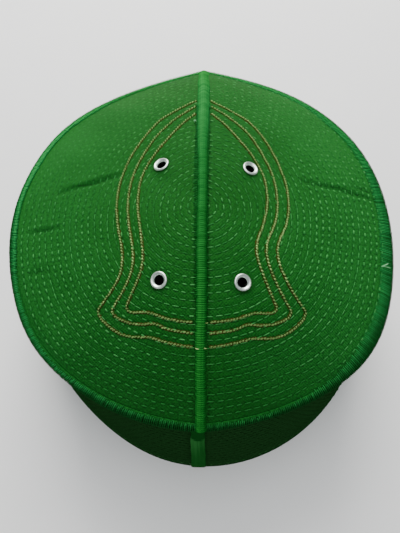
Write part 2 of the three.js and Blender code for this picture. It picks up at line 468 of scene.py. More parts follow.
# Painted shade in the hollows of the fuzz, which also gives the cloth its fine relief.
hollow_shade = math_node(weave, "MULTIPLY", math_node(weave, "SUBTRACT", 0.57, fuzz), 3.7)
hollow_shade_clamped = math_node(weave, "MINIMUM", math_node(weave, "MAXIMUM", hollow_shade, 0.0), 0.65)
shaded = math_node(weave, "MINIMUM", math_node(weave, "ADD", shaded, hollow_shade_clamped), 1.0)
cloth_colour = mix_colours(weave, shaded, cloth_colour, weave_in.outputs["Dark And Shade Colour"])
weave.links.new(cloth_colour, weave_out.inputs["Colour"])
weave.links.new(
    math_node(weave, "ADD", math_node(weave, "MULTIPLY", fuzz, 0.2), 0.62),
    weave_out.inputs["Roughness"],
)


def patterned_material(name, group, values, bump_strength, bump_depth, shine):
    """A material with the colour, roughness and fine relief of a group, by its own values."""
    material = bpy.data.materials.new(name)
    material.use_nodes = True
    tree = material.node_tree
    shader = tree.nodes["Principled BSDF"]
    pattern = tree.nodes.new("ShaderNodeGroup")
    pattern.node_tree = group
    for label, value in values.items():
        pattern.inputs[label].default_value = value
    bump = tree.nodes.new("ShaderNodeBump")
    bump.inputs["Strength"].default_value = bump_strength
    bump.inputs["Distance"].default_value = bump_depth
    tree.links.new(pattern.outputs["Height"], bump.inputs["Height"])
    tree.links.new(bump.outputs[0], shader.inputs["Normal"])
    tree.links.new(pattern.outputs["Colour"], shader.inputs["Base Color"])
    tree.links.new(pattern.outputs["Roughness"], shader.inputs["Roughness"])
    shader.inputs["Specular IOR Level"].default_value = shine
    return material


def cloth_material(name, colour, dark_and_shade, faded_and_lit, threads, groove_shade, shine):
    values = {
        "Colour": colour,
        "Dark And Shade Colour": dark_and_shade,
        "Faded And Lit Colour": faded_and_lit,
        "Threads Per Millimetre": threads,
        "Groove Shade": groove_shade,
    }
    return patterned_material(name, weave, values, 0.8, 0.00018, shine)


# The crown's faded and lit colour serves both its faded patches and its painted light.
crown_cotton = cloth_material(
    "crown cotton",
    colour=(0.0086, 0.096, 0.0100, 1),
    dark_and_shade=(0.0030, 0.036, 0.0036, 1),
    faded_and_lit=(0.0150, 0.140, 0.0195, 1),
    threads=1.7,
    groove_shade=0.5,
    shine=0.05,
)


def closed_bar_faces(rows, corners):
    """Faces of a bar made of rings of corners, with its two end faces."""
    faces = joined_rows(rows, corners, wrap_columns=True)
    faces.append(list(range(corners))[::-1])
    faces.append([(rows - 1) * corners + i for i in range(corners)])
    return faces


def closed_sheet_faces(rows, columns):
    """Faces of a sheet whose rows run over its face and back under it, with its two cut ends."""
    faces = joined_rows(rows, columns, wrap_rows=True)
    faces.append([i * columns for i in range(rows)])
    faces.append([i * columns + columns - 1 for i in reversed(range(rows))])
    return faces


def eyelet_stand(place):
    """An eyelet's middle on the cloth, with its sideways, forward and upward ways."""
    reach = math.hypot(place["across"], place["along"])
    angle = math.atan2(place["along"], place["across"])
    middle = crown_point(reach, angle)
    outward = unit(crown_point(reach + 0.5, angle) - crown_point(reach - 0.5, angle))
    up = unit(crown_normal(reach, angle) + outward * place["tip"])
    side = unit(np.cross(up, np.array([0.0, 1.0, 0.0])))
    return middle, side, np.cross(up, side), up


def punch_hole(cloth, place):
    """A round hole square through the cloth, for one eyelet."""
    middle, side, ahead, up = eyelet_stand(place)
    corners = 40
    turn = np.arange(corners) / corners * 2 * np.pi
    ring = side * np.cos(turn)[:, None] + ahead * np.sin(turn)[:, None]
    points = np.concatenate([middle + eyelet_hole * ring + up * height for height in (-5.0, 4.0)])
    punch = make_piece("punch", points, closed_bar_faces(2, corners))
    cut = cloth.modifiers.new("hole", "BOOLEAN")
    cut.operation = "DIFFERENCE"
    cut.solver = "EXACT"
    cut.object = punch
    graph = bpy.context.evaluated_depsgraph_get()
    opened = bpy.data.meshes.new_from_object(cloth.evaluated_get(graph))
    cloth.modifiers.clear()
    plain = cloth.data
    cloth.data = opened
    bpy.data.meshes.remove(plain)
    bpy.data.meshes.remove(punch.data)


def half_grid(rows, columns, side):
    """Reach and angle of a grid over one half, whose edge keeps just off the seam."""
    reach = np.repeat(np.asarray(rows)[:, None], columns, 1)
    limit = np.arccos(half_gap / reach)
    return reach, limit * np.linspace(-1, 1, columns) + (0 if side > 0 else np.pi)


def off_half(reach, angle, height):
    """Like off_crown, but straight up and down beside the seam, so that the halves don't meet."""
    plain = crown_point(reach, angle)
    spots = off_crown(reach, angle, height)
    spots[..., 0] += (plain[..., 0] - spots[..., 0]) * fall_off(plain[..., 0], 1.5)
    return spots


def tucked_in(reach):
    """How far the crown's cloth has gone in under the lip."""
    return smooth_step(
        reach, crown_cloth_reach - lip_cover_starts, crown_cloth_reach - lip_cover_full
    )


def crown_half(name, side):
    """One half-disc as a closed sheet: the quilted face, the plain underside and cut edges."""
    columns = 210
    face_rows = np.concatenate([[0.3, 0.8], np.arange(1.35, crown_cloth_reach, row_spacing / 8)])
    face_rows = np.append(face_rows, crown_cloth_reach)
    under_rows = np.linspace(crown_cloth_reach, 0.3, 30)
    reach, angle = half_grid(face_rows, columns, side)
    across = reach * np.cos(angle)
    along = reach * np.sin(angle)
    relief, groove_and_shade = crown_relief(across, along, side)
    tucked = tucked_in(reach)
    face = off_half(reach, angle, relief * (1 - tucked) - 0.15 * tucked)
    under_reach, under_angle = half_grid(under_rows, columns, side)
    under = off_half(under_reach, under_angle, np.full(under_reach.shape, -crown_thickness))
    points = np.concatenate([face, under]).reshape(-1, 3)
    flat = np.concatenate([
        np.stack([across, along], -1),
        np.stack([under_reach * np.cos(under_angle), under_reach * np.sin(under_angle)], -1),
    ]).reshape(-1, 2)
    faces = closed_sheet_faces(len(face_rows) + len(under_rows), columns)
    faces = [corner[::-1] for corner in faces]
    # Painted shade marks for the face, and none for the underside.
    painted_shade_marks = np.concatenate([groove_and_shade.ravel(), np.zeros(under_reach.size)])
    # Painted light: the cloth turns lighter towards its sides, and a little towards its back.
    painted_light = (0.85 + 0.1 * side) * smooth_step(np.abs(across), 8, 74)
    painted_light = painted_light + (0.18 + 0.1 * side) * smooth_step(along, 0, 75)
    painted_light_marks = np.concatenate([painted_light.ravel(), np.zeros(under_reach.size)])
    marks = {"groove_and_shade": painted_shade_marks, "painted_light": painted_light_marks}
    half = make_piece(name, points, faces, flat, marks)
    half.data.materials.append(crown_cotton)
    for place in eyelet_places:
        if place["across"] * side > 0:
            punch_hole(half, place)
    return half


for node, side in (("crown_left", -1), ("crown_right", 1)):
    half = crown_half(node + "_quilted", side)
    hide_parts(node)
    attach(half, "root")


# Running stitches in light green thread hold the layers of the crown together. They go round in
# rings about 2.7 mm apart, each stitch a short thread that rises from the cloth and dips again.
stitch_width = 0.27
stitch_rise = 0.18
stitch_step = 3.0
stitch_eyelet_room = 4.2
twist_start_shift = 1.37
thin_rows = (7, 9, 13, 14, 16, 20, 24)
wide_step_row = 18
wide_step_more = 0.026

ply, ply_in, ply_out = new_group(
    "twisted thread",
    [
        ("Colour", "NodeSocketColor", (0.1, 0.4, 0.15, 1)),
        ("Dark And Shade Colour", "NodeSocketColor", (0.02, 0.15, 0.04, 1)),
        ("Painted Light Colour", "NodeSocketColor", (0.2, 0.5, 0.25, 1)),
        ("Twists Per Millimetre", "NodeSocketFloat", 1.4),
        ("Shade Change", "NodeSocketFloat", 0.5),
    ],
    pattern_outputs,
)
ply_place = ply.nodes.new("ShaderNodeUVMap")
ply_place.uv_map = "cloth"
ply_split = ply.nodes.new("ShaderNodeSeparateXYZ")
ply.links.new(ply_place.outputs[0], ply_split.inputs[0])
ply_twists = ply_in.outputs["Twists Per Millimetre"]
ply_along = math_node(ply, "MULTIPLY", ply_split.outputs[0], ply_twists)
ply_turn = math_node(ply, "ADD", ply_along, math_node(ply, "MULTIPLY", ply_split.outputs[1], 2.0))
ply_wave = math_node(ply, "SINE", math_node(ply, "MULTIPLY", ply_turn, 2 * math.pi))
ply_fibre = noise_node(ply, ply_place.outputs[0], 3.0, 3.0, 0.6)
ply_high = math_node(ply, "ADD", math_node(ply, "MULTIPLY", ply_wave, 0.5), ply_fibre)
ply.links.new(ply_high, ply_out.inputs["Height"])
# The thread mark darkens a thread towards its dark and shade colour: by tone that differs at
# random, and by painted shade where a piece paints it.
tone_and_shade_mark = ply.nodes.new("ShaderNodeAttribute")
tone_and_shade_mark.attribute_name = "thread"
ply_dark = math_node(ply, "MULTIPLY", tone_and_shade_mark.outputs["Fac"], ply_in.outputs["Shade Change"])
# Painted shade in the valleys of the twist.
ply_valley_shade = math_node(ply, "MULTIPLY", math_node(ply, "SUBTRACT", 0.2, ply_wave), 0.25)
ply_valley_shade = math_node(ply, "MAXIMUM", ply_valley_shade, 0.0)
ply_dark = math_node(ply, "MINIMUM", math_node(ply, "ADD", ply_dark, ply_valley_shade), 1.0)
# Painted light: where the mesh has a light mark, the thread turns to its painted light colour.
ply_painted_light_mark = ply.nodes.new("ShaderNodeAttribute")
ply_painted_light_mark.attribute_name = "painted_light"
ply_colour = mix_colours(
    ply, ply_painted_light_mark.outputs["Fac"], ply_in.outputs["Colour"], ply_in.outputs["Painted Light Colour"]
)
ply.links.new(
    mix_colours(ply, ply_dark, ply_colour, ply_in.outputs["Dark And Shade Colour"]),
    ply_out.inputs["Colour"],
)
ply.links.new(
    math_node(ply, "ADD", math_node(ply, "MULTIPLY", ply_fibre, 0.25), 0.36),
    ply_out.inputs["Roughness"],
)


def thread_material(name, colour, dark_and_shade, twists, shade_change, shine, painted_light=None):
    """A thread's material. Where the mesh has a painted light mark, its colour turns to the painted
    light colour.
    """
    values = {
        "Colour": colour,
        "Dark And Shade Colour": dark_and_shade,
        "Painted Light Colour": painted_light or colour,
        "Twists Per Millimetre": twists,
        "Shade Change": shade_change,
    }
    return patterned_material(name, ply, values, 0.6, 0.00008, shine)


def beside(lines, ups):
    """The sideways way at each point of many lines, square to their upward ways."""
    return unit(np.cross(unit(np.gradient(lines, axis=1)), ups))


def thread_piece(name, material, lines, ways, sizes, corners, shades, painted_light=None):
    """Many closed threads as one mesh. Each line is a row of points with its sideways and upward
    ways, and each point has the thread's half width and half height there. A shade belongs to a
    whole thread or to each of its points, and a painted light mark to a whole thread."""
    count, stations = lines.shape[:2]
    sides, ups = ways
    half_widths, half_heights = sizes
    turn = np.arange(corners) / corners * 2 * np.pi
    ring = (
        lines[:, :, None, :]
        + sides[:, :, None, :] * (half_widths[..., None] * np.cos(turn))[..., None]
        + ups[:, :, None, :] * (half_heights[..., None] * np.sin(turn))[..., None]
    )
    step = np.linalg.norm(np.diff(lines, axis=1), axis=-1)
    walked = np.concatenate([np.zeros((count, 1)), np.cumsum(step, axis=1)], axis=1)
    starts = np.arange(count)[:, None] * twist_start_shift
    flat = np.stack(
        [
            np.repeat((walked + starts)[..., None], corners, -1),
            np.broadcast_to(np.arange(corners) / corners, (count, stations, corners)),
        ],
        -1,
    )
    one = np.array(joined_rows(stations, corners, wrap_columns=True))[:, ::-1]
    first = np.arange(count) * stations * corners
    faces = (one[None] + first[:, None, None]).reshape(-1, 4).tolist()
    faces += (np.arange(corners)[None] + first[:, None]).tolist()
    faces += (np.arange(corners)[::-1] + (stations - 1) * corners + first[:, None]).tolist()
    shades = np.broadcast_to(np.reshape(shades, (count, -1, 1)), (count, stations, corners))
    marks = {"thread": shades.ravel()}
    if painted_light is not None:
        marks["painted_light"] = np.repeat(painted_light, stations * corners)
    piece = make_piece(name, ring.reshape(-1, 3), faces, flat.reshape(-1, 2), marks)
    piece.data.materials.append(material)
    return piece


def away_from_eyelets(across, along, room):
    """Which flat places leave some room to every eyelet's middle."""
    clear = np.ones(np.shape(across), bool)
    for place in eyelet_places:
        clear &= np.hypot(across - place["across"], along - place["along"]) > room
    return clear


def ring_of_stitches(row, side, random):
    """Where one ring's stitches lie: each has its middle and half its length, as angles from the
    front seam, its reach and its half width. A quarter of a ring has a whole number of steps."""
    reach = row * row_spacing
    quarter = reach * np.pi / 2
    longest = stitch_step + wide_step_more * max(0, row - wide_step_row)
    step = quarter / max(1, round(quarter / longest))
    count = int(np.pi * reach / step)
    middles = (np.arange(1, count) * step + random.uniform(-0.15, 0.25)) / reach
    middles = middles + np.cumsum(random.normal(0, 0.02, len(middles))) * step / reach
    middles = middles + random.uniform(-0.05, 0.05, len(middles)) * step / reach

    # Stitches are shorter at the back, and shorter and thicker in the outer rings off the front.
    length = 0.98 - 0.22 * smooth_step(-reach * np.cos(middles), 5, 50)
    width = np.full(len(middles), stitch_width + 0.04 * smooth_step(reach, 20, 50))
    off_front = (1 - smooth_step(np.cos(middles), 0.1, 0.6)) * smooth_step(reach, 25, 50)
    length = length * (1 - 0.12 * off_front)
    width = width * (1 + (0.22 + 0.08 * side) * off_front)
    if row in thin_rows:
        length *= 1.35
        width *= 0.6

    # On the right of the front they were sewn longer and finer.
    if side > 0:
        front = 1 - smooth_step(middles, 0.75, 1.1)
        length = length + front * (1.3 - length)
        width = width * (1 - 0.22 * front)
    halves = length * random.uniform(0.75, 1.15, len(middles)) / reach
    width = width * random.uniform(0.8, 1.15, len(middles))
    reaches = reach + random.uniform(-0.10, 0.10, len(middles))
    return np.stack([middles, halves, reaches, width], -1)


def stitches_on_crown(name, side, random):
    """All the stitches of one half of the crown, ring by ring."""
    rings = [ring_of_stitches(row, side, random) for row in range(1, row_count + 1)]
    middle, half, reach, width = np.concatenate(rings).T
    across = side * reach * np.sin(middle)
    along = -reach * np.cos(middle)
    keep = np.abs(across) > rib_half_width(along) + 0.6
    keep = keep & away_from_eyelets(across, along, stitch_eyelet_room)
    middle, half, reach, width = middle[keep], half[keep], reach[keep], width[keep]
    across, along = across[keep], along[keep]
    share = np.array([-1.0, -0.8, -0.35, 0.35, 0.8, 1.0])
    angle = -np.pi / 2 + side * (middle[:, None] + half[:, None] * share)
    reach = reach[:, None] + random.uniform(-0.10, 0.10, (len(middle), 1)) * share
    relief, _ = crown_relief(reach * np.cos(angle), reach * np.sin(angle), side)

    # Towards the back they were pulled down into the cloth.
    eased = smooth_step(along, 15, 55) if side > 0 else smooth_step(along, -15, 45)
    settled = 1 - (0.6 - 0.1 * side) * eased[:, None]
    rise = stitch_rise * settled * np.sqrt(np.clip(1 - share**4, 0, 1)) - 0.04
    lines = off_crown(reach, angle, relief + rise)
    ups = crown_normal(reach, angle)
    half_widths = width[:, None] * np.sqrt(np.clip(1.02 - share**4, 0.02, 1))

    # Painted light makes them brighter at the sides, and painted shade darkens them at the front
    # edge, at the back and towards the back at the far left. Their tone also differs at random.
    bright_end = 25 if side > 0 else 0
    painted_bright = smooth_step(np.abs(across), 15, 50) * (1 - smooth_step(-along, 22, 48))
    painted_bright = painted_bright * (1 - smooth_step(along, bright_end - 15, bright_end + 10))
    stitch_tone_and_shade = random.uniform(0, 1, len(middle)) ** 1.3 * (1 - 0.45 * painted_bright)
    stitch_tone_and_shade = stitch_tone_and_shade + 0.9 * smooth_step(-along, 44, 70)
    stitch_tone_and_shade = stitch_tone_and_shade + (0.3 - 0.2 * side) * smooth_step(along, 25, 55)
    if side < 0:
        stitch_tone_and_shade = stitch_tone_and_shade + 0.45 * smooth_step(along, -8, 15) * smooth_step(-across, 30, 50)
    sizes = (half_widths, half_widths * 0.6 * settled)
    ways = (beside(lines, ups), ups)
    shades = np.minimum(stitch_tone_and_shade, 1)
    return thread_piece(name, stitch_thread, lines, ways, sizes, 6, shades, 0.9 * painted_bright)


stitch_thread = thread_material(
    "light green thread",
    colour=(0.048, 0.250, 0.062, 1),
    dark_and_shade=(0.014, 0.128, 0.020, 1),
    painted_light=(0.044, 0.262, 0.058, 1),
    twists=1.2,
    shade_change=0.95,
    shine=0.05,
)
for node, side in (("left", -1), ("right", 1)):
    stitches = stitches_on_crown("ring_stitches_" + node, side, np.random.default_rng(11 + side))
    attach(stitches, "root")


# The figure is drawn in gold chain stitch, three lines side by side on each half. Each link is
# a loop of gold thread held down by the next, over a low brown band along the line.
link_length = 1.12
link_width = 0.22
gold_radius = 0.145

# One link as a loop of points: how far each lies along it, beside it and over the cloth.
link_points = 14
link_corners = 5
link_turn = np.linspace(0, 2 * np.pi, link_points, endpoint=False)
link_run = 0.5 - 0.5 * np.cos(link_turn)
link_swing = np.sin(link_turn) * (0.55 + 0.45 * link_run)
link_lift = 0.12 + 0.42 * np.sin(np.pi * link_run) + 0.10 * (1 - link_run)

gold_thread = thread_material(
    "gold thread",
    colour=(0.42, 0.62, 0.21, 1),
    dark_and_shade=(0.14, 0.235, 0.068, 1),
    twists=1.8,
    shade_change=0.8,
    shine=0.03,
)
brown_under_gold = thread_material(
    "brown under gold",
    colour=(0.060, 0.040, 0.009, 1),
    dark_and_shade=(0.008, 0.048, 0.005, 1),
    twists=1.0,
    shade_change=1.0,
    shine=0.0,
)


def gold_size(along):
    """The figure's thread lies finer towards the back."""
    return 1 - 0.12 * smooth_step(along, -8, 25)


def to_the_left(way):
    """Sideways unit steps of flat ways."""
    return unit(np.stack([-way[:, 1], way[:, 0]], -1))


def links_on_path(path, side, random):
    """The gold links along one line of the figure, as rings of points, and each link's shade."""
    start, end = path[:-1], path[1:]
    way = end - start
    size = gold_size(start[:, 1])[:, None, None]
    slant = (link_run - 0.5) * 0.3

    # Links are shorter from the middle to the back, where painted light also makes them lighter,
    # and painted shade makes them darker in front.
    upper = smooth_step(start[:, 1], -25, 0)
    filled = (0.70 - 0.14 * upper)[:, None]
    flat = (
        start[:, None, :]
        + way[:, None, :] * (link_run * filled + 0.48 - filled / 2)[..., None]
        + to_the_left(way)[:, None, :] * (link_swing * link_width + slant)[None, :, None] * size
    )
    flat = flat + random.normal(0, 0.06, (len(start), 1, 2))
    across, along = flat[..., 0], flat[..., 1]
    relief, _ = crown_relief(across, along, side)
    loop = on_cloth(across, along, relief + link_lift)
    up = crown_normal(np.hypot(across, along), np.arctan2(along, across))
    ahead = unit(np.roll(loop, -1, axis=1) - np.roll(loop, 1, axis=1))
    out = unit(np.cross(ahead, up))
    spin = np.arange(link_corners) / link_corners * 2 * np.pi
    rings = (
        loop[:, :, None, :]
        + out[:, :, None, :] * (gold_radius * np.cos(spin))[:, None] * size[..., None]
        + up[:, :, None, :] * (gold_radius * np.sin(spin))[:, None] * size[..., None]
    )
    # Painted shade in front and painted light towards the back, over a tone that differs at random.
    lower = smooth_step(-start[:, 1], 18, 36) * (0.72 + 0.1 * side)
    shade = random.uniform(-0.1, 0.9, len(start)) + lower - 0.35 * upper
    return rings, np.clip(shade, 0, 1)


def chain_stitches(name, side, random):
    """The gold links of one half, as one mesh."""
    lines = [links_on_path(path, side, random) for path in figure_strokes(side, link_length)]
    rings = np.concatenate([rings for rings, _ in lines])
    shades = np.concatenate([shade for _, shade in lines])
    one = joined_rows(link_points, link_corners, wrap_rows=True, wrap_columns=True)
    first = np.arange(len(rings))[:, None, None] * link_points * link_corners
    faces = (np.array(one)[:, ::-1][None] + first).reshape(-1, 4).tolist()
    lengthwise = np.broadcast_to((link_run * 2.0)[None, :, None], rings.shape[:3])
    sidewise = np.broadcast_to(np.arange(link_corners) / link_corners, rings.shape[:3])
    flat = np.stack([lengthwise, sidewise], -1).reshape(-1, 2)
    marks = {"thread": np.repeat(shades, link_points * link_corners)}
    chain = make_piece(name, rings.reshape(-1, 3), faces, flat, marks)
    chain.data.materials.append(gold_thread)
    return chain


def brown_lines(name, side, random):
    """A low brown band under the links along each line."""
    columns = np.array([-1.0, -0.6, 0.0, 0.6, 1.0])
    heights = np.array([-0.15, 0.10, 0.16, 0.10, -0.15])
    points = np.zeros((0, 3))
    flat_places = np.zeros((0, 2))
    faces = []
    shades = []
    for path in figure_strokes(side, 0.55):
        sideways = to_the_left(np.gradient(path, axis=0))
        width = (0.78 + random.uniform(-0.16, 0.16, len(path))) * gold_size(path[:, 1])
        flat = path[:, None, :] + sideways[:, None, :] * (width[:, None] * columns)[..., None]
        across, along = flat[..., 0], flat[..., 1]
        relief, _ = crown_relief(across, along, side)
        strip = joined_rows(len(path), len(columns), first=len(points))
        faces += [corner[::-1] for corner in strip]
        spots = on_cloth(across, along, relief + heights)
        points = np.concatenate([points, spots.reshape(-1, 3)])
        flat_places = np.concatenate([flat_places, flat.reshape(-1, 2)])
        shades.append(np.repeat(random.uniform(0, 1, len(path)), len(columns)))
    base = make_piece(name, points, faces, flat_places, {"thread": np.concatenate(shades)})
    base.data.materials.append(brown_under_gold)
    return base


for node, side in (("left", -1), ("right", 1)):
    random = np.random.default_rng(31 + side)
    for piece in (
        chain_stitches("gold_links_" + node, side, random),
        brown_lines("gold_bed_" + node, side, random),
    ):
        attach(piece, "root")


# A few loose ends were left by the sewing: two pale ones at the right edge, a pale knot beside
# the rib towards the back, and short gold ones where the figure's lines pass over the rib.
loose_ends = [
    {"from": (73.3, -15.9), "to": (76.8, -14.2), "lift": 1.2, "width": 0.18},
    {"from": (73.6, -15.8), "to": (77.7, -16.0), "lift": 1.0, "width": 0.16},
    {"from": (-3.6, 39.9), "to": (-2.6, 39.2), "lift": 0.8, "width": 0.26},
    {"from": (-3.3, 39.0), "to": (-2.9, 40.1), "lift": 0.7, "width": 0.22},
]
gold_ends = [
    {"from": (-1.6, -51.0), "to": (-0.1, -51.3), "lift": 1.9, "width": 0.17},
    {"from": (0.5, -50.8), "to": (1.7, -51.1), "lift": 1.9, "width": 0.15},
    {"from": (1.0, -42.6), "to": (2.0, -42.4), "lift": 1.8, "width": 0.15},
]
loose_thread = thread_material(
    "loose pale thread",
    colour=(0.26, 0.66, 0.32, 1),
    dark_and_shade=(0.13, 0.42, 0.17, 1),
    twists=1.5,
    shade_change=0.8,
    shine=0.05,
)


def column_of(table, label):
    """One named column of a table, as numbers."""
    return np.array([row[label] for row in table], float)


def loose_piece(name, ends, material):
    """Short bent threads that lie on the cloth, each from one flat place to another."""
    share = np.linspace(0, 1, 7)
    start = column_of(ends, "from")
    stop = column_of(ends, "to")
    flat = start[:, None, :] + (stop - start)[:, None, :] * share[None, :, None]
    bent_to = np.array([1, -1] * len(ends))[: len(ends), None]
    across = flat[..., 0] + 0.12 * np.sin(np.pi * share) * bent_to
    along = flat[..., 1]
    heights = column_of(ends, "lift")[:, None] * (0.6 + 0.4 * np.sin(np.pi * share))
    lines = on_cloth(across, along, heights)
    ups = crown_normal(np.hypot(across, along), np.arctan2(along, across))
    widths = column_of(ends, "width")[:, None] * (1 - 0.35 * np.abs(2 * share - 1))
    shades = np.linspace(0, 0.9, len(ends))
    ways = (beside(lines, ups), ups)
    piece = thread_piece(name, material, lines, ways, (widths, widths), 6, shades)
    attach(piece, "root")


loose_piece("loose_pale_ends", loose_ends, loose_thread)
loose_piece("loose_gold_ends", gold_ends, gold_thread)


# The rib covers the crown's seam: a cord under close satin stitches that cross it from side to
# side and bite into the cloth on either side. It climbs over the flange at both ends.
rib_height = 1.3
rib_climb = 0.4
rib_thread_step = 0.76
rib_back_thread_step = 1.05
rib_front_end = -81.4
rib_back_end = 79.2
flange_inner = 77.0

rib_satin = thread_material(
    "rib thread",
    colour=(0.018, 0.184, 0.024, 1),
    dark_and_shade=(0.005, 0.070, 0.008, 1),
    painted_light=(0.037, 0.260, 0.060, 1),
    twists=0.9,
    shade_change=0.8,
    shine=0.0,
)


def seam_spot(along, across, height):
    """A point over the ridge, by its way along the seam, sideways, and out from the cloth."""
    along, across, height = np.broadcast_arrays(
        np.asarray(along, float), np.asarray(across, float), np.asarray(height, float)
    )
    angle = np.where(along < 0, -np.pi / 2, np.pi / 2)
    reach = np.abs(along)
    middle = crown_point(reach, angle)
    ahead = crown_point(reach + 0.5, angle)
    tilt = np.arctan2(middle[..., 2] - ahead[..., 2], np.abs(ahead[..., 1] - middle[..., 1]))
    up = np.stack([np.zeros(tilt.shape), np.sin(tilt) * np.sign(along), np.cos(tilt)], -1)
    spot = middle + up * height[..., None]
    spot[..., 0] += across
    return spot


def rib_thread_places():
    """Where each satin stitch of the rib starts along the seam. They are wider at the back."""
    starts = [rib_front_end]
    while starts[-1] < rib_back_end - 0.5:
        wider = smooth_step(starts[-1], 0, 60) * (rib_back_thread_step - rib_thread_step)
        starts.append(starts[-1] + rib_thread_step + wider)
    starts[-1] = rib_back_end
    return starts


def rib_shades(along, spread, ridge, which, crossing, random):
    """How dark the rib's face is. Its threads differ at random, painted shade lies between its
    threads, down its right side and along the front's crossing line, and painted light on the
    threads of its left side. It is darker about its middle and lighter in front."""
    count = which[-1] + 1
    in_front = smooth_step(-along, 5, 40)[:, None]
    softened = smooth_step(along, 15, 50)[:, None]
    shade = 0.06 + 0.45 * (1 - ridge) + 0.42 * random.uniform(0, 1, count)[which] ** 1.5
    shade = shade + 0.2 * fall_off(along - 5, 30)
    shade = shade * (1 - 0.5 * smooth_step(-along, 20, 50))
    right_shade = smooth_step(spread, 0.15, 0.8) * (0.3 + 0.35 * in_front - 0.22 * softened)
    caught = random.uniform(0.2, 1.8, count)[which][:, None]
    left_light = fall_off(spread + 0.35, 0.28) * (0.22 + 0.15 * in_front) * caught
    blended = (1 - 0.85 * smooth_step(along, 5, 40))[:, None]
    side_shade = 0.7 * np.abs(spread) ** 6 * blended + right_shade - left_light
    return np.clip(shade[:, None] + side_shade + 1.6 * crossing, 0, 1)


def seam_rib():
    """The rib as one closed bar whose face is ridged by each satin stitch."""
    random = np.random.default_rng(5)
    starts = rib_thread_places()
    count = len(starts) - 1
    stations = count * 4 + 1
    thread = np.arange(stations) / 4
    along = np.interp(thread, np.arange(count + 1), starts)
    which = np.minimum(thread.astype(int), count - 1)
    proud = random.uniform(0.75, 1.1, count)[which]
    ridge = np.abs(np.sin(np.pi * thread)) ** 0.7 * proud

    # Across, the rib is full and round in front, and softer and lower towards the back.
    columns = 15
    spread = np.linspace(-1, 1, columns)
    profile = (np.clip(1 - np.abs(spread) ** 2.6, 0, 1) ** 0.7)[None, :]
    softened = smooth_step(along, 15, 50)[:, None]
    profile = profile + (np.clip(1 - spread**2, 0, 1) ** 1.3 - profile) * softened
    half_width = rib_half_width(along)[:, None]
    side_drop = gable_slope * half_width
    sway = 0.10 * np.sin(along / 7.0) + 0.05 * np.sin(along / 2.3)
    edge_wander = (random.uniform(-0.16, 0.16, count)[which])[:, None] * spread**2

    # It climbs over the flange at both ends, and thins out there.
    climb = smooth_step(np.abs(along), flange_inner - 4, flange_inner - 0.5)
    lift = (0.3 + rib_climb * climb)[:, None]
    sink = 0.35 * softened
    relief = 0.24 * ridge[:, None] * (0.4 + profile)
    settled = (rib_height - 0.1) * (1 - 0.45 * smooth_step(along, -10, 45))[:, None]
    height = lift + profile * settled + relief - (side_drop + 0.2) * (1 - profile)
    crossing = 0.16 * fall_off(spread - 0.12, 0.16) * smooth_step(-along, 20, 45)[:, None]
    taper = smooth_step(along - rib_front_end, 0, 1.2) * smooth_step(rib_back_end - along, 0, 4.0)
    flatten = 1 - 0.7 * smooth_step(along, 50, 76)
    low = lift - side_drop * np.abs(spread) - (0.2 + sink) * spread**4
    height = low + (height - crossing - low) * ((0.3 + 0.7 * taper) * flatten)[:, None]
    across = spread[None, :] * (half_width + 0.05 * ridge[:, None]) + edge_wander + sway[:, None]
    face = seam_spot(along[:, None], across, height)

    # Its base follows the two slopes of the crown, with one corner on the seam.
    base_columns = np.array([1.0, 0.0, -1.0])
    base_across = base_columns * half_width + sway[:, None]
    base_height = lift - np.abs(base_columns) * (side_drop + 0.2 + sink) - 0.05
    base = seam_spot(along[:, None], base_across, base_height)
    outline = np.concatenate([face, base], axis=1)
    corners = columns + len(base_columns)
    sidewise = np.broadcast_to(np.append(spread, base_columns) * 3.0, (stations, corners))
    lengthwise = np.repeat(thread[:, None], corners, 1) * 0.5
    flat = np.stack([sidewise, lengthwise], -1).reshape(-1, 2)
    face_shades = rib_shades(along, spread, ridge, which, crossing, random)
    shades = np.pad(face_shades, ((0, 0), (0, len(base_columns))), constant_values=1.0)
    # Painted light: the rib is lighter towards the back, less so at its very end.
    painted_light = smooth_step(along, -55, 60) - 0.55 * smooth_step(along, 52, 78)
    marks = {"thread": shades, "painted_light": np.repeat(painted_light, corners)}
    faces = closed_bar_faces(stations, corners)
    rib = make_piece("seam_rib_satin", outline.reshape(-1, 3), faces, flat, marks)
    rib.data.materials.append(rib_satin)
    return rib


rib = seam_rib()
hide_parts("seam_rib")
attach(rib, "root")


def rib_thread_ends(side, random):
    """The ends of the satin threads, where they bite into the cloth beside the rib. They reach
    further on the left, where the needle went wide."""
    middles = np.arange(-34.0, 50.0, rib_thread_step)
    middles = middles + random.uniform(-0.12, 0.12, len(middles))
    share = np.linspace(0, 1, 4)
    reach_out = random.uniform(0.4, 1.1, len(middles))
    if side < 0:
        reach_out += 0.9 * fall_off(middles - 5, 32)
    start = rib_half_width(middles)[:, None] - 0.3
    across = side * (start + reach_out[:, None] * share)
    along = middles[:, None] + random.uniform(-0.15, 0.15, (len(middles), 1)) * share
    relief, _ = crown_relief(across, along, side)
    lift = (relief + 0.06) * share + 0.6 * (1 - share)
    lines = on_cloth(across, along, lift)
    ups = crown_normal(np.hypot(across, along), np.arctan2(along, across))
    widths = 0.22 * (1 - 0.4 * share) * np.ones((len(middles), 1))
    # Their tone differs at random, and painted light makes them lighter towards the back.
    shades = random.uniform(0.2, 0.9, len(middles)) * (1 - 0.8 * smooth_step(middles, 26, 42))
    painted_light = smooth_step(middles, -55, 60)
    name = "rib_thread_ends_" + ("right" if side > 0 else "left")
    ways = (beside(lines, ups), ups)
    return thread_piece(name, rib_satin, lines, ways, (widths, widths * 0.7), 5, shades, painted_light)


for side in (-1, 1):
    ends = rib_thread_ends(side, np.random.default_rng(51 + side))
    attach(ends, "root")


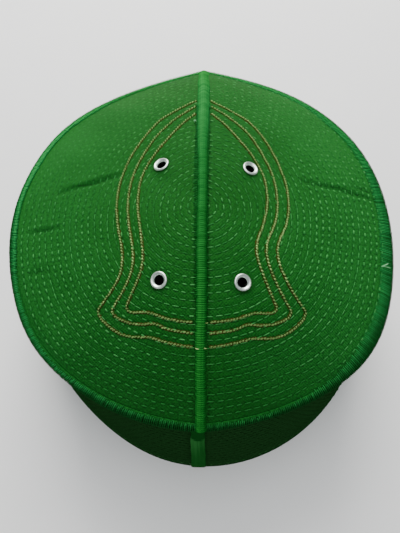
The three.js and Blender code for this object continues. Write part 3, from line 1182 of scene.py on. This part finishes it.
# Four air eyelets of pale plated metal are pressed through the crown: a rounded flange outside,
# a barrel through the cloth, and a washer on the inside. Each one's edge is a little scuffed.
# Its section is given by how far out from the middle it lies, and how high over the cloth.
eyelet_profile = [
    {"out": 1.76, "up": -0.45}, {"out": 1.82, "up": -0.08}, {"out": 2.05, "up": 0.20},
    {"out": 2.40, "up": 0.46}, {"out": 2.68, "up": 0.60}, {"out": 2.92, "up": 0.56},
    {"out": 3.12, "up": 0.38}, {"out": 3.22, "up": 0.15}, {"out": 3.18, "up": 0.00},
    {"out": 2.90, "up": -0.05}, {"out": 2.34, "up": -0.08}, {"out": 2.30, "up": -0.60},
    {"out": 2.30, "up": -1.80}, {"out": 2.34, "up": -2.32}, {"out": 3.00, "up": -2.36},
    {"out": 3.12, "up": -2.50}, {"out": 3.02, "up": -2.80}, {"out": 2.60, "up": -2.98},
    {"out": 2.25, "up": -2.96}, {"out": 1.90, "up": -2.78}, {"out": 1.76, "up": -2.40},
    {"out": 1.76, "up": -1.20},
]
barrel_reach = 1.8
eyelet_stand_off = 0.12

eyelet_metal = bpy.data.materials.new("plated metal")
eyelet_metal.use_nodes = True
metal_tree = eyelet_metal.node_tree
metal_shader = metal_tree.nodes["Principled BSDF"]
metal_place = metal_tree.nodes.new("ShaderNodeTexCoord")
scuffs = noise_node(metal_tree, metal_place.outputs["Object"], 900.0, 4.0, 0.65)
tarnish = noise_node(metal_tree, metal_place.outputs["Object"], 260.0, 2.0, 0.5)
metal_colour = mix_colours(metal_tree, tarnish, (0.90, 1.0, 0.91, 1), (0.73, 0.81, 0.73, 1))
# Painted shade: the bore of the barrel is coloured near black, as the shade inside the hat.
barrel_shade_mark = metal_tree.nodes.new("ShaderNodeAttribute")
barrel_shade_mark.attribute_name = "barrel"
metal_colour = mix_colours(
    metal_tree, barrel_shade_mark.outputs["Fac"], metal_colour, (0.03, 0.03, 0.03, 1)
)
metal_tree.links.new(metal_colour, metal_shader.inputs["Base Color"])
metal_rough = math_node(metal_tree, "ADD", math_node(metal_tree, "MULTIPLY", scuffs, 0.25), 0.22)
metal_tree.links.new(metal_rough, metal_shader.inputs["Roughness"])
metal_shader.inputs["Metallic"].default_value = 1.0
metal_bump = metal_tree.nodes.new("ShaderNodeBump")
metal_bump.inputs["Strength"].default_value = 0.25
metal_bump.inputs["Distance"].default_value = 0.00004
metal_tree.links.new(scuffs, metal_bump.inputs["Height"])
metal_tree.links.new(metal_bump.outputs[0], metal_shader.inputs["Normal"])


def eyelet(place):
    """A turned eyelet standing square on the cloth at its place."""
    around = 56
    middle, side, ahead, up = eyelet_stand(place)
    turn = np.arange(around) / around * 2 * np.pi
    wobble = 1 + 0.012 * np.sin(2 * turn + place["across"]) + 0.008 * np.sin(3 * turn)
    rings = []
    for ring in eyelet_profile:
        out = ring["out"] * wobble
        rings.append(
            middle
            + side * (out * np.cos(turn))[:, None]
            + ahead * (out * np.sin(turn))[:, None]
            + up * (ring["up"] + eyelet_stand_off)
        )
    points = np.concatenate(rings)
    faces = joined_rows(len(eyelet_profile), around, wrap_rows=True, wrap_columns=True)
    faces = [corner[::-1] for corner in faces]
    # The bore's rings take the painted shade.
    barrel = [float(ring["out"] < barrel_reach) for ring in eyelet_profile]
    marks = {"barrel": np.repeat(barrel, around)}
    return make_piece(place["node"] + "_turned", points, faces, marks=marks)


for place in eyelet_places:
    ring = eyelet(place)
    ring.data.materials.append(eyelet_metal)
    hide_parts(place["node"])
    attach(ring, "root")


# The crown's edge and the band's top edge are laid together and overlocked: a lip about four
# millimetres wide, wrapped in close green threads that reach unevenly on to the crown.
flange_thickness = 3.1

# The core's section and a thread's way round it, by how far out and how high they lie, with how
# much painted shade they have there: the outer side and the underside are fully shaded. The last
# two columns are added at the left and at the front right.
flange_outline = [
    {"reach": 78.50, "up": 0.02, "shade": 0.1}, {"reach": 79.40, "up": 0.10, "shade": 0.15},
    {"reach": 80.50, "up": 0.05, "shade": 0.4}, {"reach": 81.40, "up": -0.35, "shade": 1.0},
    {"reach": 81.80, "up": -1.40, "shade": 1.0}, {"reach": 81.35, "up": -2.40, "shade": 1.0},
    {"reach": 80.30, "up": -2.95, "shade": 1.0}, {"reach": 79.20, "up": -3.00, "shade": 1.0},
    {"reach": 78.50, "up": -2.50, "shade": 1.0},
]
overlock_path = [
    {"reach": 78.40, "up": 0.10, "shade": 0.20, "left_shade": 0.35, "right_shade": 0.0},
    {"reach": 79.20, "up": 0.34, "shade": 0.05, "left_shade": 0.0, "right_shade": 0.1},
    {"reach": 80.20, "up": 0.38, "shade": 0.30, "left_shade": 0.5, "right_shade": 0.4},
    {"reach": 81.10, "up": 0.20, "shade": 0.85, "left_shade": 0.15, "right_shade": 0.1},
    {"reach": 81.80, "up": -0.45, "shade": 1.0, "left_shade": 0.0, "right_shade": 0.0},
    {"reach": 82.05, "up": -1.40, "shade": 1.0, "left_shade": 0.0, "right_shade": 0.0},
    {"reach": 81.70, "up": -2.45, "shade": 1.0, "left_shade": 0.0, "right_shade": 0.0},
    {"reach": 80.50, "up": -3.12, "shade": 1.0, "left_shade": 0.0, "right_shade": 0.0},
    {"reach": 79.30, "up": -3.20, "shade": 1.0, "left_shade": 0.0, "right_shade": 0.0},
]
overlock_step = 0.74
overlock_radius = 0.24

# Where the overlocking changes on its way round, as angles in radians: it is sewn thinner or
# further in to the right, and lies smoother and thicker to the left.
lip_places = {
    "right": {"middle": -0.04, "width": 0.48},
    "front right": {"middle": -0.75, "width": 0.32},
    "back right": {"middle": 0.95, "width": 0.5},
    "left": {"middle": 2.9, "width": 0.55},
    "back left": {"middle": 2.68, "width": 0.45},
    "front left": {"middle": 3.95, "width": 0.45},
    "beside the front": {"middle": 4.42, "width": 0.28},
}

flange_core = cloth_material(
    "overlocked edge",
    colour=(0.012, 0.115, 0.016, 1),
    dark_and_shade=(0.003, 0.026, 0.004, 1),
    faded_and_lit=(0.014, 0.125, 0.019, 1),
    threads=1.4,
    groove_shade=0.9,
    shine=0.0,
)
overlock_thread = thread_material(
    "overlock thread",
    colour=(0.030, 0.270, 0.045, 1),
    dark_and_shade=(0.008, 0.064, 0.012, 1),
    painted_light=(0.038, 0.330, 0.080, 1),
    twists=0.9,
    shade_change=0.9,
    shine=0.0,
)


def even_angles(reach, spacing):
    """Angles round the crown at an even spacing along its edge."""
    dense = np.linspace(0, 2 * np.pi, 1441)
    edge = crown_point(reach, dense)
    walked = np.concatenate([[0], np.cumsum(np.linalg.norm(np.diff(edge, axis=0), axis=1))])
    count = int(walked[-1] / spacing)
    return np.interp(np.arange(count) / count * walked[-1], walked, dense)


def near(angle, place):
    """One at a named place round the lip, falling to nothing away from it."""
    return bulge(angle, lip_places[place]["middle"], lip_places[place]["width"])


def lip_hang(angle, reach):
    """How much further the lip's outer side hangs out, to the left of the front."""
    return 1.1 * near(angle, "beside the front") * smooth_step(reach, 80.4, 81.2)


def flange_lip():
    """The lip's core, which shows as shade between the threads that are wrapped round it."""
    angle = even_angles(crown_reach, 1.6)
    reach = column_of(flange_outline, "reach")
    up = column_of(flange_outline, "up")
    hung = reach + lip_hang(angle[:, None], reach)
    spots = off_crown(hung, angle[:, None], np.broadcast_to(up, (len(angle), len(up))))
    faces = joined_rows(len(angle), len(up), wrap_rows=True, wrap_columns=True)
    flat = np.stack(np.broadcast_arrays(angle[:, None] * 80, reach + up), -1).reshape(-1, 2)
    marks = {"groove_and_shade": np.tile(column_of(flange_outline, "shade"), len(angle))}
    lip = make_piece("crown_flange_core", spots.reshape(-1, 3), faces, flat, marks)
    lip.data.materials.append(flange_core)
    return lip


def overlock_reaches(angle, random):
    """How far out each thread passes at each of its points. Its inner end wanders."""
    to_front = np.maximum(-np.sin(angle), 0)
    to_back = np.maximum(np.sin(angle), 0)
    to_right = np.maximum(np.cos(angle), 0)
    wander = 0.25 * np.sin(angle * 5 + 1.0) + 0.25 * np.sin(angle * 13 + 0.4)
    wander = wander + 0.6 * to_front - 0.8 * to_right**4 - 1.3 * to_back**2
    wander = wander - 3.0 * near(angle, "right")
    wander = wander - 1.2 * near(angle, "back right") - 1.7 * near(angle, "front right")
    uneven = random.uniform(-0.45, 0.45, len(angle)) * (1 - 0.6 * near(angle, "left"))
    reach = np.repeat(column_of(overlock_path, "reach")[None, :], len(angle), 0)
    reach[:, :3] += (wander + uneven)[:, None] * np.array([1.0, 0.8, 0.3])
    return reach + lip_hang(angle[:, None], reach)


def overlock_heights(angle, reach, random):
    """How high each thread passes at each of its points. Its inner end stays over the cloth."""
    to_back = np.maximum(np.sin(angle), 0)
    up = column_of(overlock_path, "up")[None, :] + random.normal(0, 0.03, (len(angle), 1))
    up[:, :3] *= (1 - 0.6 * to_back)[:, None]
    up[:, 1:4] -= 0.12 * near(angle, "back right")[:, None]
    for column in (0, 1):
        across = reach[:, column] * np.cos(angle)
        along = reach[:, column] * np.sin(angle)
        under, _ = crown_relief(across, along, 1)
        lowest = under * (1 - tucked_in(reach[:, column])) + 0.12 - 0.06 * to_back
        up[:, column] = np.maximum(up[:, column], lowest)
    return up


def overlock_shades(angle, random):
    """How much painted shade each thread has at each of its points: on top by its place round the
    lip, with tone that differs at random, and full below.
    """
    to_front = np.maximum(-np.sin(angle), 0) ** 2
    to_back = np.maximum(np.sin(angle), 0)
    at_left = near(angle, "left")
    at_right = near(angle, "right")
    back_left = near(angle, "back left")
    back_right = near(angle, "back right")
    front_right = near(angle, "front right")
    # Painted shade and light by place: darker in front, lighter at the back and at the sides.
    shade_by_place = 0.4 * to_front - 0.3 * to_back - 0.35 * back_left - 0.3 * at_right
    shade_by_place = shade_by_place + 0.06 * back_right - 0.2 * near(angle, "front left") - 0.15 * front_right
    calm = 0.8 * back_left + 0.2 * at_left + 0.5 * back_right - 0.8 * at_right
    uneven = random.uniform(0, 0.45, len(angle)) * (1 - calm)
    on_top = 1 - smooth_step(column_of(overlock_path, "reach"), 80.0, 81.5)
    shade = column_of(overlock_path, "shade") + shade_by_place[:, None] * on_top + uneven[:, None]
    shade = shade + column_of(overlock_path, "left_shade") * at_left[:, None]
    shade = shade + column_of(overlock_path, "right_shade") * front_right[:, None]
    return np.clip(shade, 0, 1)


def overlock_loops():
    """The threads that are wrapped round the lip, as one mesh."""
    random = np.random.default_rng(77)
    angle = even_angles(crown_reach, overlock_step)
    count = len(angle)
    stations = len(overlock_path)
    angle = angle + random.normal(0, 0.0005, count)
    reach = overlock_reaches(angle, random)
    up = overlock_heights(angle, reach, random)
    inward = np.linspace(1, 0, stations)
    slant = random.normal(0, 0.0006, (count, 1)) * inward - 0.006 * (0.5 - inward)
    angles = angle[:, None] + slant
    lines = off_crown(reach, angles, up)
    ways = unit(np.gradient(lines, axis=1))
    around = crown_point(reach, angles + 0.01) - crown_point(reach, angles - 0.01)
    outward = unit(np.cross(ways, around))
    sideways = unit(np.cross(ways, outward))
    thicker = 1 + 0.5 * near(angle, "back left") + 0.15 * near(angle, "left")
    thicker = thicker - 0.3 * near(angle, "right") - 0.2 * near(angle, "back right")
    radius = overlock_radius * random.uniform(0.85, 1.12, (count, 1)) * np.ones(stations)
    radius[:, 0] *= 0.6
    radius = radius * thicker[:, None]
    shade = overlock_shades(angle, random)
    # Painted light: the threads are lighter all round, and most at the left, the front left, the
    # right and the back right.
    painted_light = 0.4 + near(angle, "left") + 0.3 * near(angle, "front left")
    painted_light = painted_light + 0.5 * (near(angle, "right") + near(angle, "back right"))
    return thread_piece(
        "overlock_loops",
        overlock_thread,
        lines,
        (sideways, outward),
        (radius, radius * 0.8),
        5,
        shade,
        np.clip(painted_light, 0, 1),
    )


lip = flange_lip()
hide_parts("crown_flange")
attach(lip, "root")
loops = overlock_loops()
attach(loops, "root")


# The band is a wall of the same quilted cotton in two halves, flaring a little to the rim. Its
# rows of stitches run level, and a hem is turned and sewn round the rim that it stands on.
band_thickness = 2.0
rim_half_width = 87.0
rim_half_length = 94.0
band_rows = 21

# Places up the band are shares of the way from the rim to the lip. Stitches are spaced by angles,
# and these reaches turn their lengths in millimetres into angles.
hem_height = 0.075
hem_row_height = 0.055
band_middle_reach = 86.0
rim_middle_reach = 90.0

# The band's cotton is the crown's cloth painted darker, as painted shade for the band that stands
# below the lip.
shaded_band_cotton = cloth_material(
    "shaded band cotton",
    colour=(0.014, 0.064, 0.016, 1),
    dark_and_shade=(0.006, 0.034, 0.008, 1),
    faded_and_lit=(0.017, 0.072, 0.019, 1),
    threads=1.7,
    groove_shade=0.3,
    shine=0.0,
)
band_thread = thread_material(
    "band thread",
    colour=(0.017, 0.076, 0.019, 1),
    dark_and_shade=(0.013, 0.056, 0.014, 1),
    twists=1.2,
    shade_change=0.8,
    shine=0.0,
)
hem_thread = thread_material(
    "hem thread",
    colour=(0.03, 0.16, 0.035, 1),
    dark_and_shade=(0.012, 0.09, 0.015, 1),
    twists=1.2,
    shade_change=0.8,
    shine=0.05,
)


def band_point(share, angle):
    """The band's outside. Its rim is pressed in a little at the front left, as a soft cap is."""
    share, angle = np.broadcast_arrays(np.asarray(share, float), np.asarray(angle, float))
    under_lip = np.full(angle.shape, -flange_thickness - 0.3)
    top = off_crown(np.full(angle.shape, crown_reach - 2.2), angle, under_lip)
    around = np.arctan2(top[..., 1], top[..., 0])
    flare = 1 - (1 - share) ** 1.25
    pressed = 1 - 0.028 * fall_off(around + 2.22, 0.42)
    x = rim_half_width * pressed * np.cos(around) * (1 - flare) + top[..., 0] * flare
    y = rim_half_length * pressed * np.sin(around) * (1 - flare) + top[..., 1] * flare
    return np.stack([x, y, top[..., 2] * share], -1)


def band_outward(share, angle):
    """The level way out from the band."""
    around = band_point(share, angle + 0.01) - band_point(share, angle - 0.01)
    return unit(np.stack([around[..., 1], -around[..., 0], np.zeros(around.shape[:-1])], -1))


def off_band(share, angle, distance):
    """A point off the band's outside by a distance, measured level."""
    distance = np.asarray(distance, float)
    return band_point(share, angle) + band_outward(share, angle) * distance[..., None]


def band_relief(share, angle):
    """Height of the cloth over the band's plain outside, and the painted shade in its sewn grooves.
    """
    over_hem = smooth_step(share, hem_height, hem_height + 0.02)
    groove_and_shade = sewn_groove(share * band_rows) * over_hem
    waves = 0.35 * np.sin(angle * 7 + 1.0) * np.sin(share * 4 + 0.5)
    waves = waves + 0.2 * np.sin(angle * 17 + share * 3)
    waves = waves * np.sin(np.pi * np.clip(share, 0, 1)) ** 0.6
    return -0.12 * groove_and_shade + waves * 0.8 - 0.35 * over_hem, groove_and_shade


def band_half(name, side):
    """One half of the band as a closed sheet: its sewn face, its plain inside and cut edges."""
    columns = 220
    face_shares = np.linspace(0, 1, band_rows * 6 + 1)
    under_shares = np.linspace(1, 0, 16)
    swing = np.linspace(-np.pi / 2, np.pi / 2, columns)
    angle = swing if side > 0 else np.pi - swing
    share, angle_grid = np.meshgrid(face_shares, angle, indexing="ij")
    relief, groove_and_shade = band_relief(share, angle_grid)
    face = off_band(share, angle_grid, relief)
    under_share, under_angle = np.meshgrid(under_shares, angle, indexing="ij")
    under = off_band(under_share, under_angle, np.full(under_share.shape, -band_thickness))
    points = np.concatenate([face, under]).reshape(-1, 3)
    points[:, 0] = side * np.maximum(side * points[:, 0], half_gap)
    points[:, 2] = np.maximum(points[:, 2], 0)
    flat = np.stack([
        np.concatenate([angle_grid, under_angle]).ravel() * 85,
        np.concatenate([share, under_share]).ravel() * 62,
    ], -1)
    faces = closed_sheet_faces(len(face_shares) + len(under_shares), columns)
    if side < 0:
        faces = [corner[::-1] for corner in faces]
    marks = np.concatenate([groove_and_shade.ravel(), np.zeros(under_share.size)])
    half = make_piece(name, points, faces, flat, {"groove_and_shade": marks})
    half.data.materials.append(shaded_band_cotton)
    return half


def stitches_on_band(name, material, side, middle, share, look, random):
    """Short level stitches on one half of the band, each by its middle and its share up."""
    run = np.linspace(-1, 1, 5)
    angle = middle[:, None] + run * look["half_length"]
    if side < 0:
        angle = np.pi - angle
    shares = np.repeat(share[:, None], len(run), 1)
    relief, _ = band_relief(shares, angle)
    rise = look["rise"] * np.sqrt(np.clip(1 - run**2, 0, 1)) - look["stitch_tone_and_shade"]
    lines = off_band(shares, angle, relief + rise)
    ups = band_outward(shares, angle)
    rounded = np.sqrt(np.clip(1 + look["blunt"] - run**2, look["blunt"], 1))
    widths = look["width"] * rounded * np.ones((len(middle), 1))
    shades = random.uniform(0, 1, len(middle))
    ways = (beside(lines, ups), ups)
    return thread_piece(name, material, lines, ways, (widths, widths * 0.6), 5, shades)


def band_stitches(name, side, random):
    """Level rows of fine stitches on the band, staggered from row to row."""
    step = 3.0 / band_middle_reach
    off_seam = np.pi / 2 - 0.055
    middle = []
    share = []
    for row in range(2, band_rows):
        middles = np.arange(-off_seam, off_seam, step)
        uneven = random.uniform(-0.1, 0.1, len(middles)) * step
        middle.append(middles + (row % 2) * 0.5 * step + uneven)
        share.append(np.full(len(middles), row / band_rows))
    middle = np.concatenate(middle)
    share = np.concatenate(share)
    keep = np.abs(middle) < off_seam
    half = 0.9 / band_middle_reach
    look = {"half_length": half, "rise": 0.26, "stitch_tone_and_shade": 0.08, "width": 0.27, "blunt": 0.03}
    return stitches_on_band(name, band_thread, side, middle[keep], share[keep], look, random)


def hem_stitches(name, side, random):
    """The level row of short stitches that holds the hem, a few millimetres over the rim."""
    step = 3.4 / rim_middle_reach
    middle = np.arange(-np.pi / 2 + 0.06, np.pi / 2 - 0.05, step)
    middle = middle + random.uniform(-0.1, 0.1, len(middle)) * step
    share = hem_row_height + random.uniform(-0.002, 0.002, len(middle))
    half = 0.8 / rim_middle_reach
    look = {"half_length": half, "rise": 0.30, "stitch_tone_and_shade": 0.06, "width": 0.34, "blunt": 0.05}
    return stitches_on_band(name, hem_thread, side, middle, share, look, random)


for node, side in (("band_left", -1), ("band_right", 1)):
    half = band_half(node + "_quilted", side)
    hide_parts(node)
    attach(half, "root")
    random = np.random.default_rng(91 + side)
    for piece in (
        band_stitches(node + "_rows", side, random),
        hem_stitches(node + "_hem", side, random),
    ):
        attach(piece, "root")


# A strip of close lengthwise stitching covers the band's seam in front, and the same one is
# taken to be at the back. Over its top comes the end of the rib, turned down under the lip.
strip_thickness = 0.8
strip_strands = 11
strip_lower_end = 0.015
strip_upper_end = 0.63
tail_lower_end = 0.60
tail_upper_end = 0.985
seam_bar_depth = 0.8
strip_cotton = thread_material(
    "strip thread",
    colour=(0.036, 0.200, 0.042, 1),
    dark_and_shade=(0.012, 0.098, 0.015, 1),
    twists=0.8,
    shade_change=0.9,
    shine=0.0,
)
# The rib's end is the rib's thread painted darker, as painted shade under the lip.
shaded_tail_thread = thread_material(
    "shaded rib end thread",
    colour=(0.010, 0.088, 0.014, 1),
    dark_and_shade=(0.004, 0.042, 0.006, 1),
    twists=0.9,
    shade_change=0.8,
    shine=0.0,
)


def seam_bar(name, material, middle_angle, share, spread, heights, half_width, shift, cloth, marks):
    """A closed bar down the band's seam. Its face has a height off the band at each of its
    points, and its back lies down in the band's cloth."""
    seam = np.full(len(share), middle_angle)
    base = off_band(share, seam, np.zeros(len(share)))[:, None, :]
    out = band_outward(share, seam)[:, None, :]
    face = base + out * heights[..., None]
    face[..., 0] += spread[None, :] * half_width + shift
    back = base - out * np.full((len(share), 2, 1), seam_bar_depth)
    back[..., 0] += np.array([1.0, -1.0]) * half_width + shift
    outline = np.concatenate([face, back], axis=1)
    faces = closed_bar_faces(*outline.shape[:2])
    if middle_angle > 0:
        faces = [corner[::-1] for corner in faces]
    points = outline.reshape(-1, 3)
    bar = make_piece(name, points, faces, cloth.reshape(-1, 2), {"thread": marks})
    bar.data.materials.append(material)
    return bar


def seam_strip(name, middle_angle, random):
    """The strip, a little off the seam, which widens from the rib's end down to the rim."""
    rows = 90
    columns = 33
    share = np.linspace(strip_lower_end, strip_upper_end, rows)
    down = share[:, None]
    spread = np.linspace(-1, 1, columns)
    strand = (spread + 1) * strip_strands / 2
    ridge = np.abs(np.sin(np.pi * strand)) ** 0.8
    edge = np.sqrt(np.clip(1 - np.abs(spread) ** 5, 0, 1))
    height = 0.5 + strip_thickness * edge * (0.72 + 0.28 * ridge)
    height = height + 0.08 * np.sin(down * 40) * edge
    height = height * (0.55 + 0.45 * smooth_step(down, strip_lower_end, 0.06))
    sway = 0.15 * np.sin(down * 9) + 0.05 * np.sin(down * 31) - 1.25 + 0.15 * down
    sidewise = np.append(strand, [strip_strands / 2] * 2) * 0.3
    cloth = np.stack(np.broadcast_arrays(down * 60, sidewise), -1)
    which = np.append(np.minimum(strand.astype(int), strip_strands - 1), [0, 0])
    right_shade = np.append(0.5 * smooth_step(spread, -0.8, 0.7), [0, 0])
    lower_shade = 0.55 - 0.75 * smooth_step(down, 0.2, 0.6)
    strand_shade = random.uniform(0, 0.45, strip_strands)[which]
    marks = np.clip(strand_shade + right_shade + lower_shade, 0, 1)
    half_width = 3.4 - 0.85 * down
    return seam_bar(
        name, strip_cotton, middle_angle, share, spread, height, half_width, sway, cloth, marks
    )


def rib_tail(name, middle_angle):
    """The end of the rib, turned down under the lip and over the strip's top, and darker with
    painted shade there.
    """
    rows = 49
    columns = 15
    share = np.linspace(tail_lower_end, tail_upper_end, rows)
    down = share[:, None]
    spread = np.linspace(-1, 1, columns)
    profile = np.clip(1 - np.abs(spread) ** 2.4, 0, 1) ** 0.7
    height = np.broadcast_to(0.7 + 0.6 * profile, (rows, columns))
    half_width = 2.7 + 0.07 * np.sin(down * 60)
    across_threads = np.append(spread * 2, [2.0, -2.0])
    cloth = np.stack(np.broadcast_arrays(across_threads, down * 42), -1)
    marks = np.repeat(np.arange(rows) % 3 / 3, columns + 2)
    return seam_bar(
        name, shaded_tail_thread, middle_angle, share, spread, height, half_width, -1.1, cloth, marks
    )


for node, middle_angle in (("front_seam_strip", -math.pi / 2), ("back_seam_strip", math.pi / 2)):
    strip = seam_strip(node + "_sewn", middle_angle, np.random.default_rng(7))
    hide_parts(node)
    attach(strip, "root")
    tail = rib_tail(node + "_rib_tail", middle_angle)
    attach(tail, "root")


# The hat stands on a plain pale table, with a large soft light behind it, a weaker one overhead,
# and a dim even room.
floor_reach = 2.0
floor_mesh = bpy.data.meshes.new("floor")
floor_corners = [
    (-floor_reach, -floor_reach, 0),
    (floor_reach, -floor_reach, 0),
    (floor_reach, floor_reach, 0),
    (-floor_reach, floor_reach, 0),
]
floor_mesh.from_pydata(floor_corners, [], [(0, 1, 2, 3)])
floor = bpy.data.objects.new("floor", floor_mesh)
bpy.context.scene.collection.objects.link(floor)
floor_paint = bpy.data.materials.new("pale table")
floor_paint.use_nodes = True
floor_shader = floor_paint.node_tree.nodes["Principled BSDF"]
floor_place = floor_paint.node_tree.nodes.new("ShaderNodeTexCoord")
floor_grain = noise_node(floor_paint.node_tree, floor_place.outputs["Object"], 30.0, 3.0, 0.5)
floor_colour = mix_colours(
    floor_paint.node_tree, floor_grain, (0.95, 0.95, 0.94, 1), (0.91, 0.91, 0.90, 1)
)
floor_paint.node_tree.links.new(floor_colour, floor_shader.inputs["Base Color"])
floor_shader.inputs["Roughness"].default_value = 0.8
floor_mesh.materials.append(floor_paint)


def soft_light(name, place, size, power, colour):
    """A square light that is turned to the middle of the hat."""
    light_data = bpy.data.lights.new(name, "AREA")
    light_data.shape = "SQUARE"
    light_data.size = size
    light_data.energy = power
    light_data.color = colour
    light = bpy.data.objects.new(name, light_data)
    light.location = place
    aim = Vector((0, 0, 0.05)) - Vector(place)
    light.rotation_euler = aim.to_track_quat("-Z", "Y").to_euler()
    bpy.context.scene.collection.objects.link(light)


soft_light("window", (-0.05, 0.66, 0.54), 0.5, 11.0, (1.0, 0.99, 0.97))
soft_light("overhead", (0.0, 0.25, 1.1), 0.8, 8.0, (1.0, 1.0, 1.0))

room = bpy.data.worlds.new("room")
room.use_nodes = True
room.node_tree.nodes["Background"].inputs["Color"].default_value = (0.9, 0.95, 1.0, 1)
room.node_tree.nodes["Background"].inputs["Strength"].default_value = 0.35
bpy.context.scene.world = room
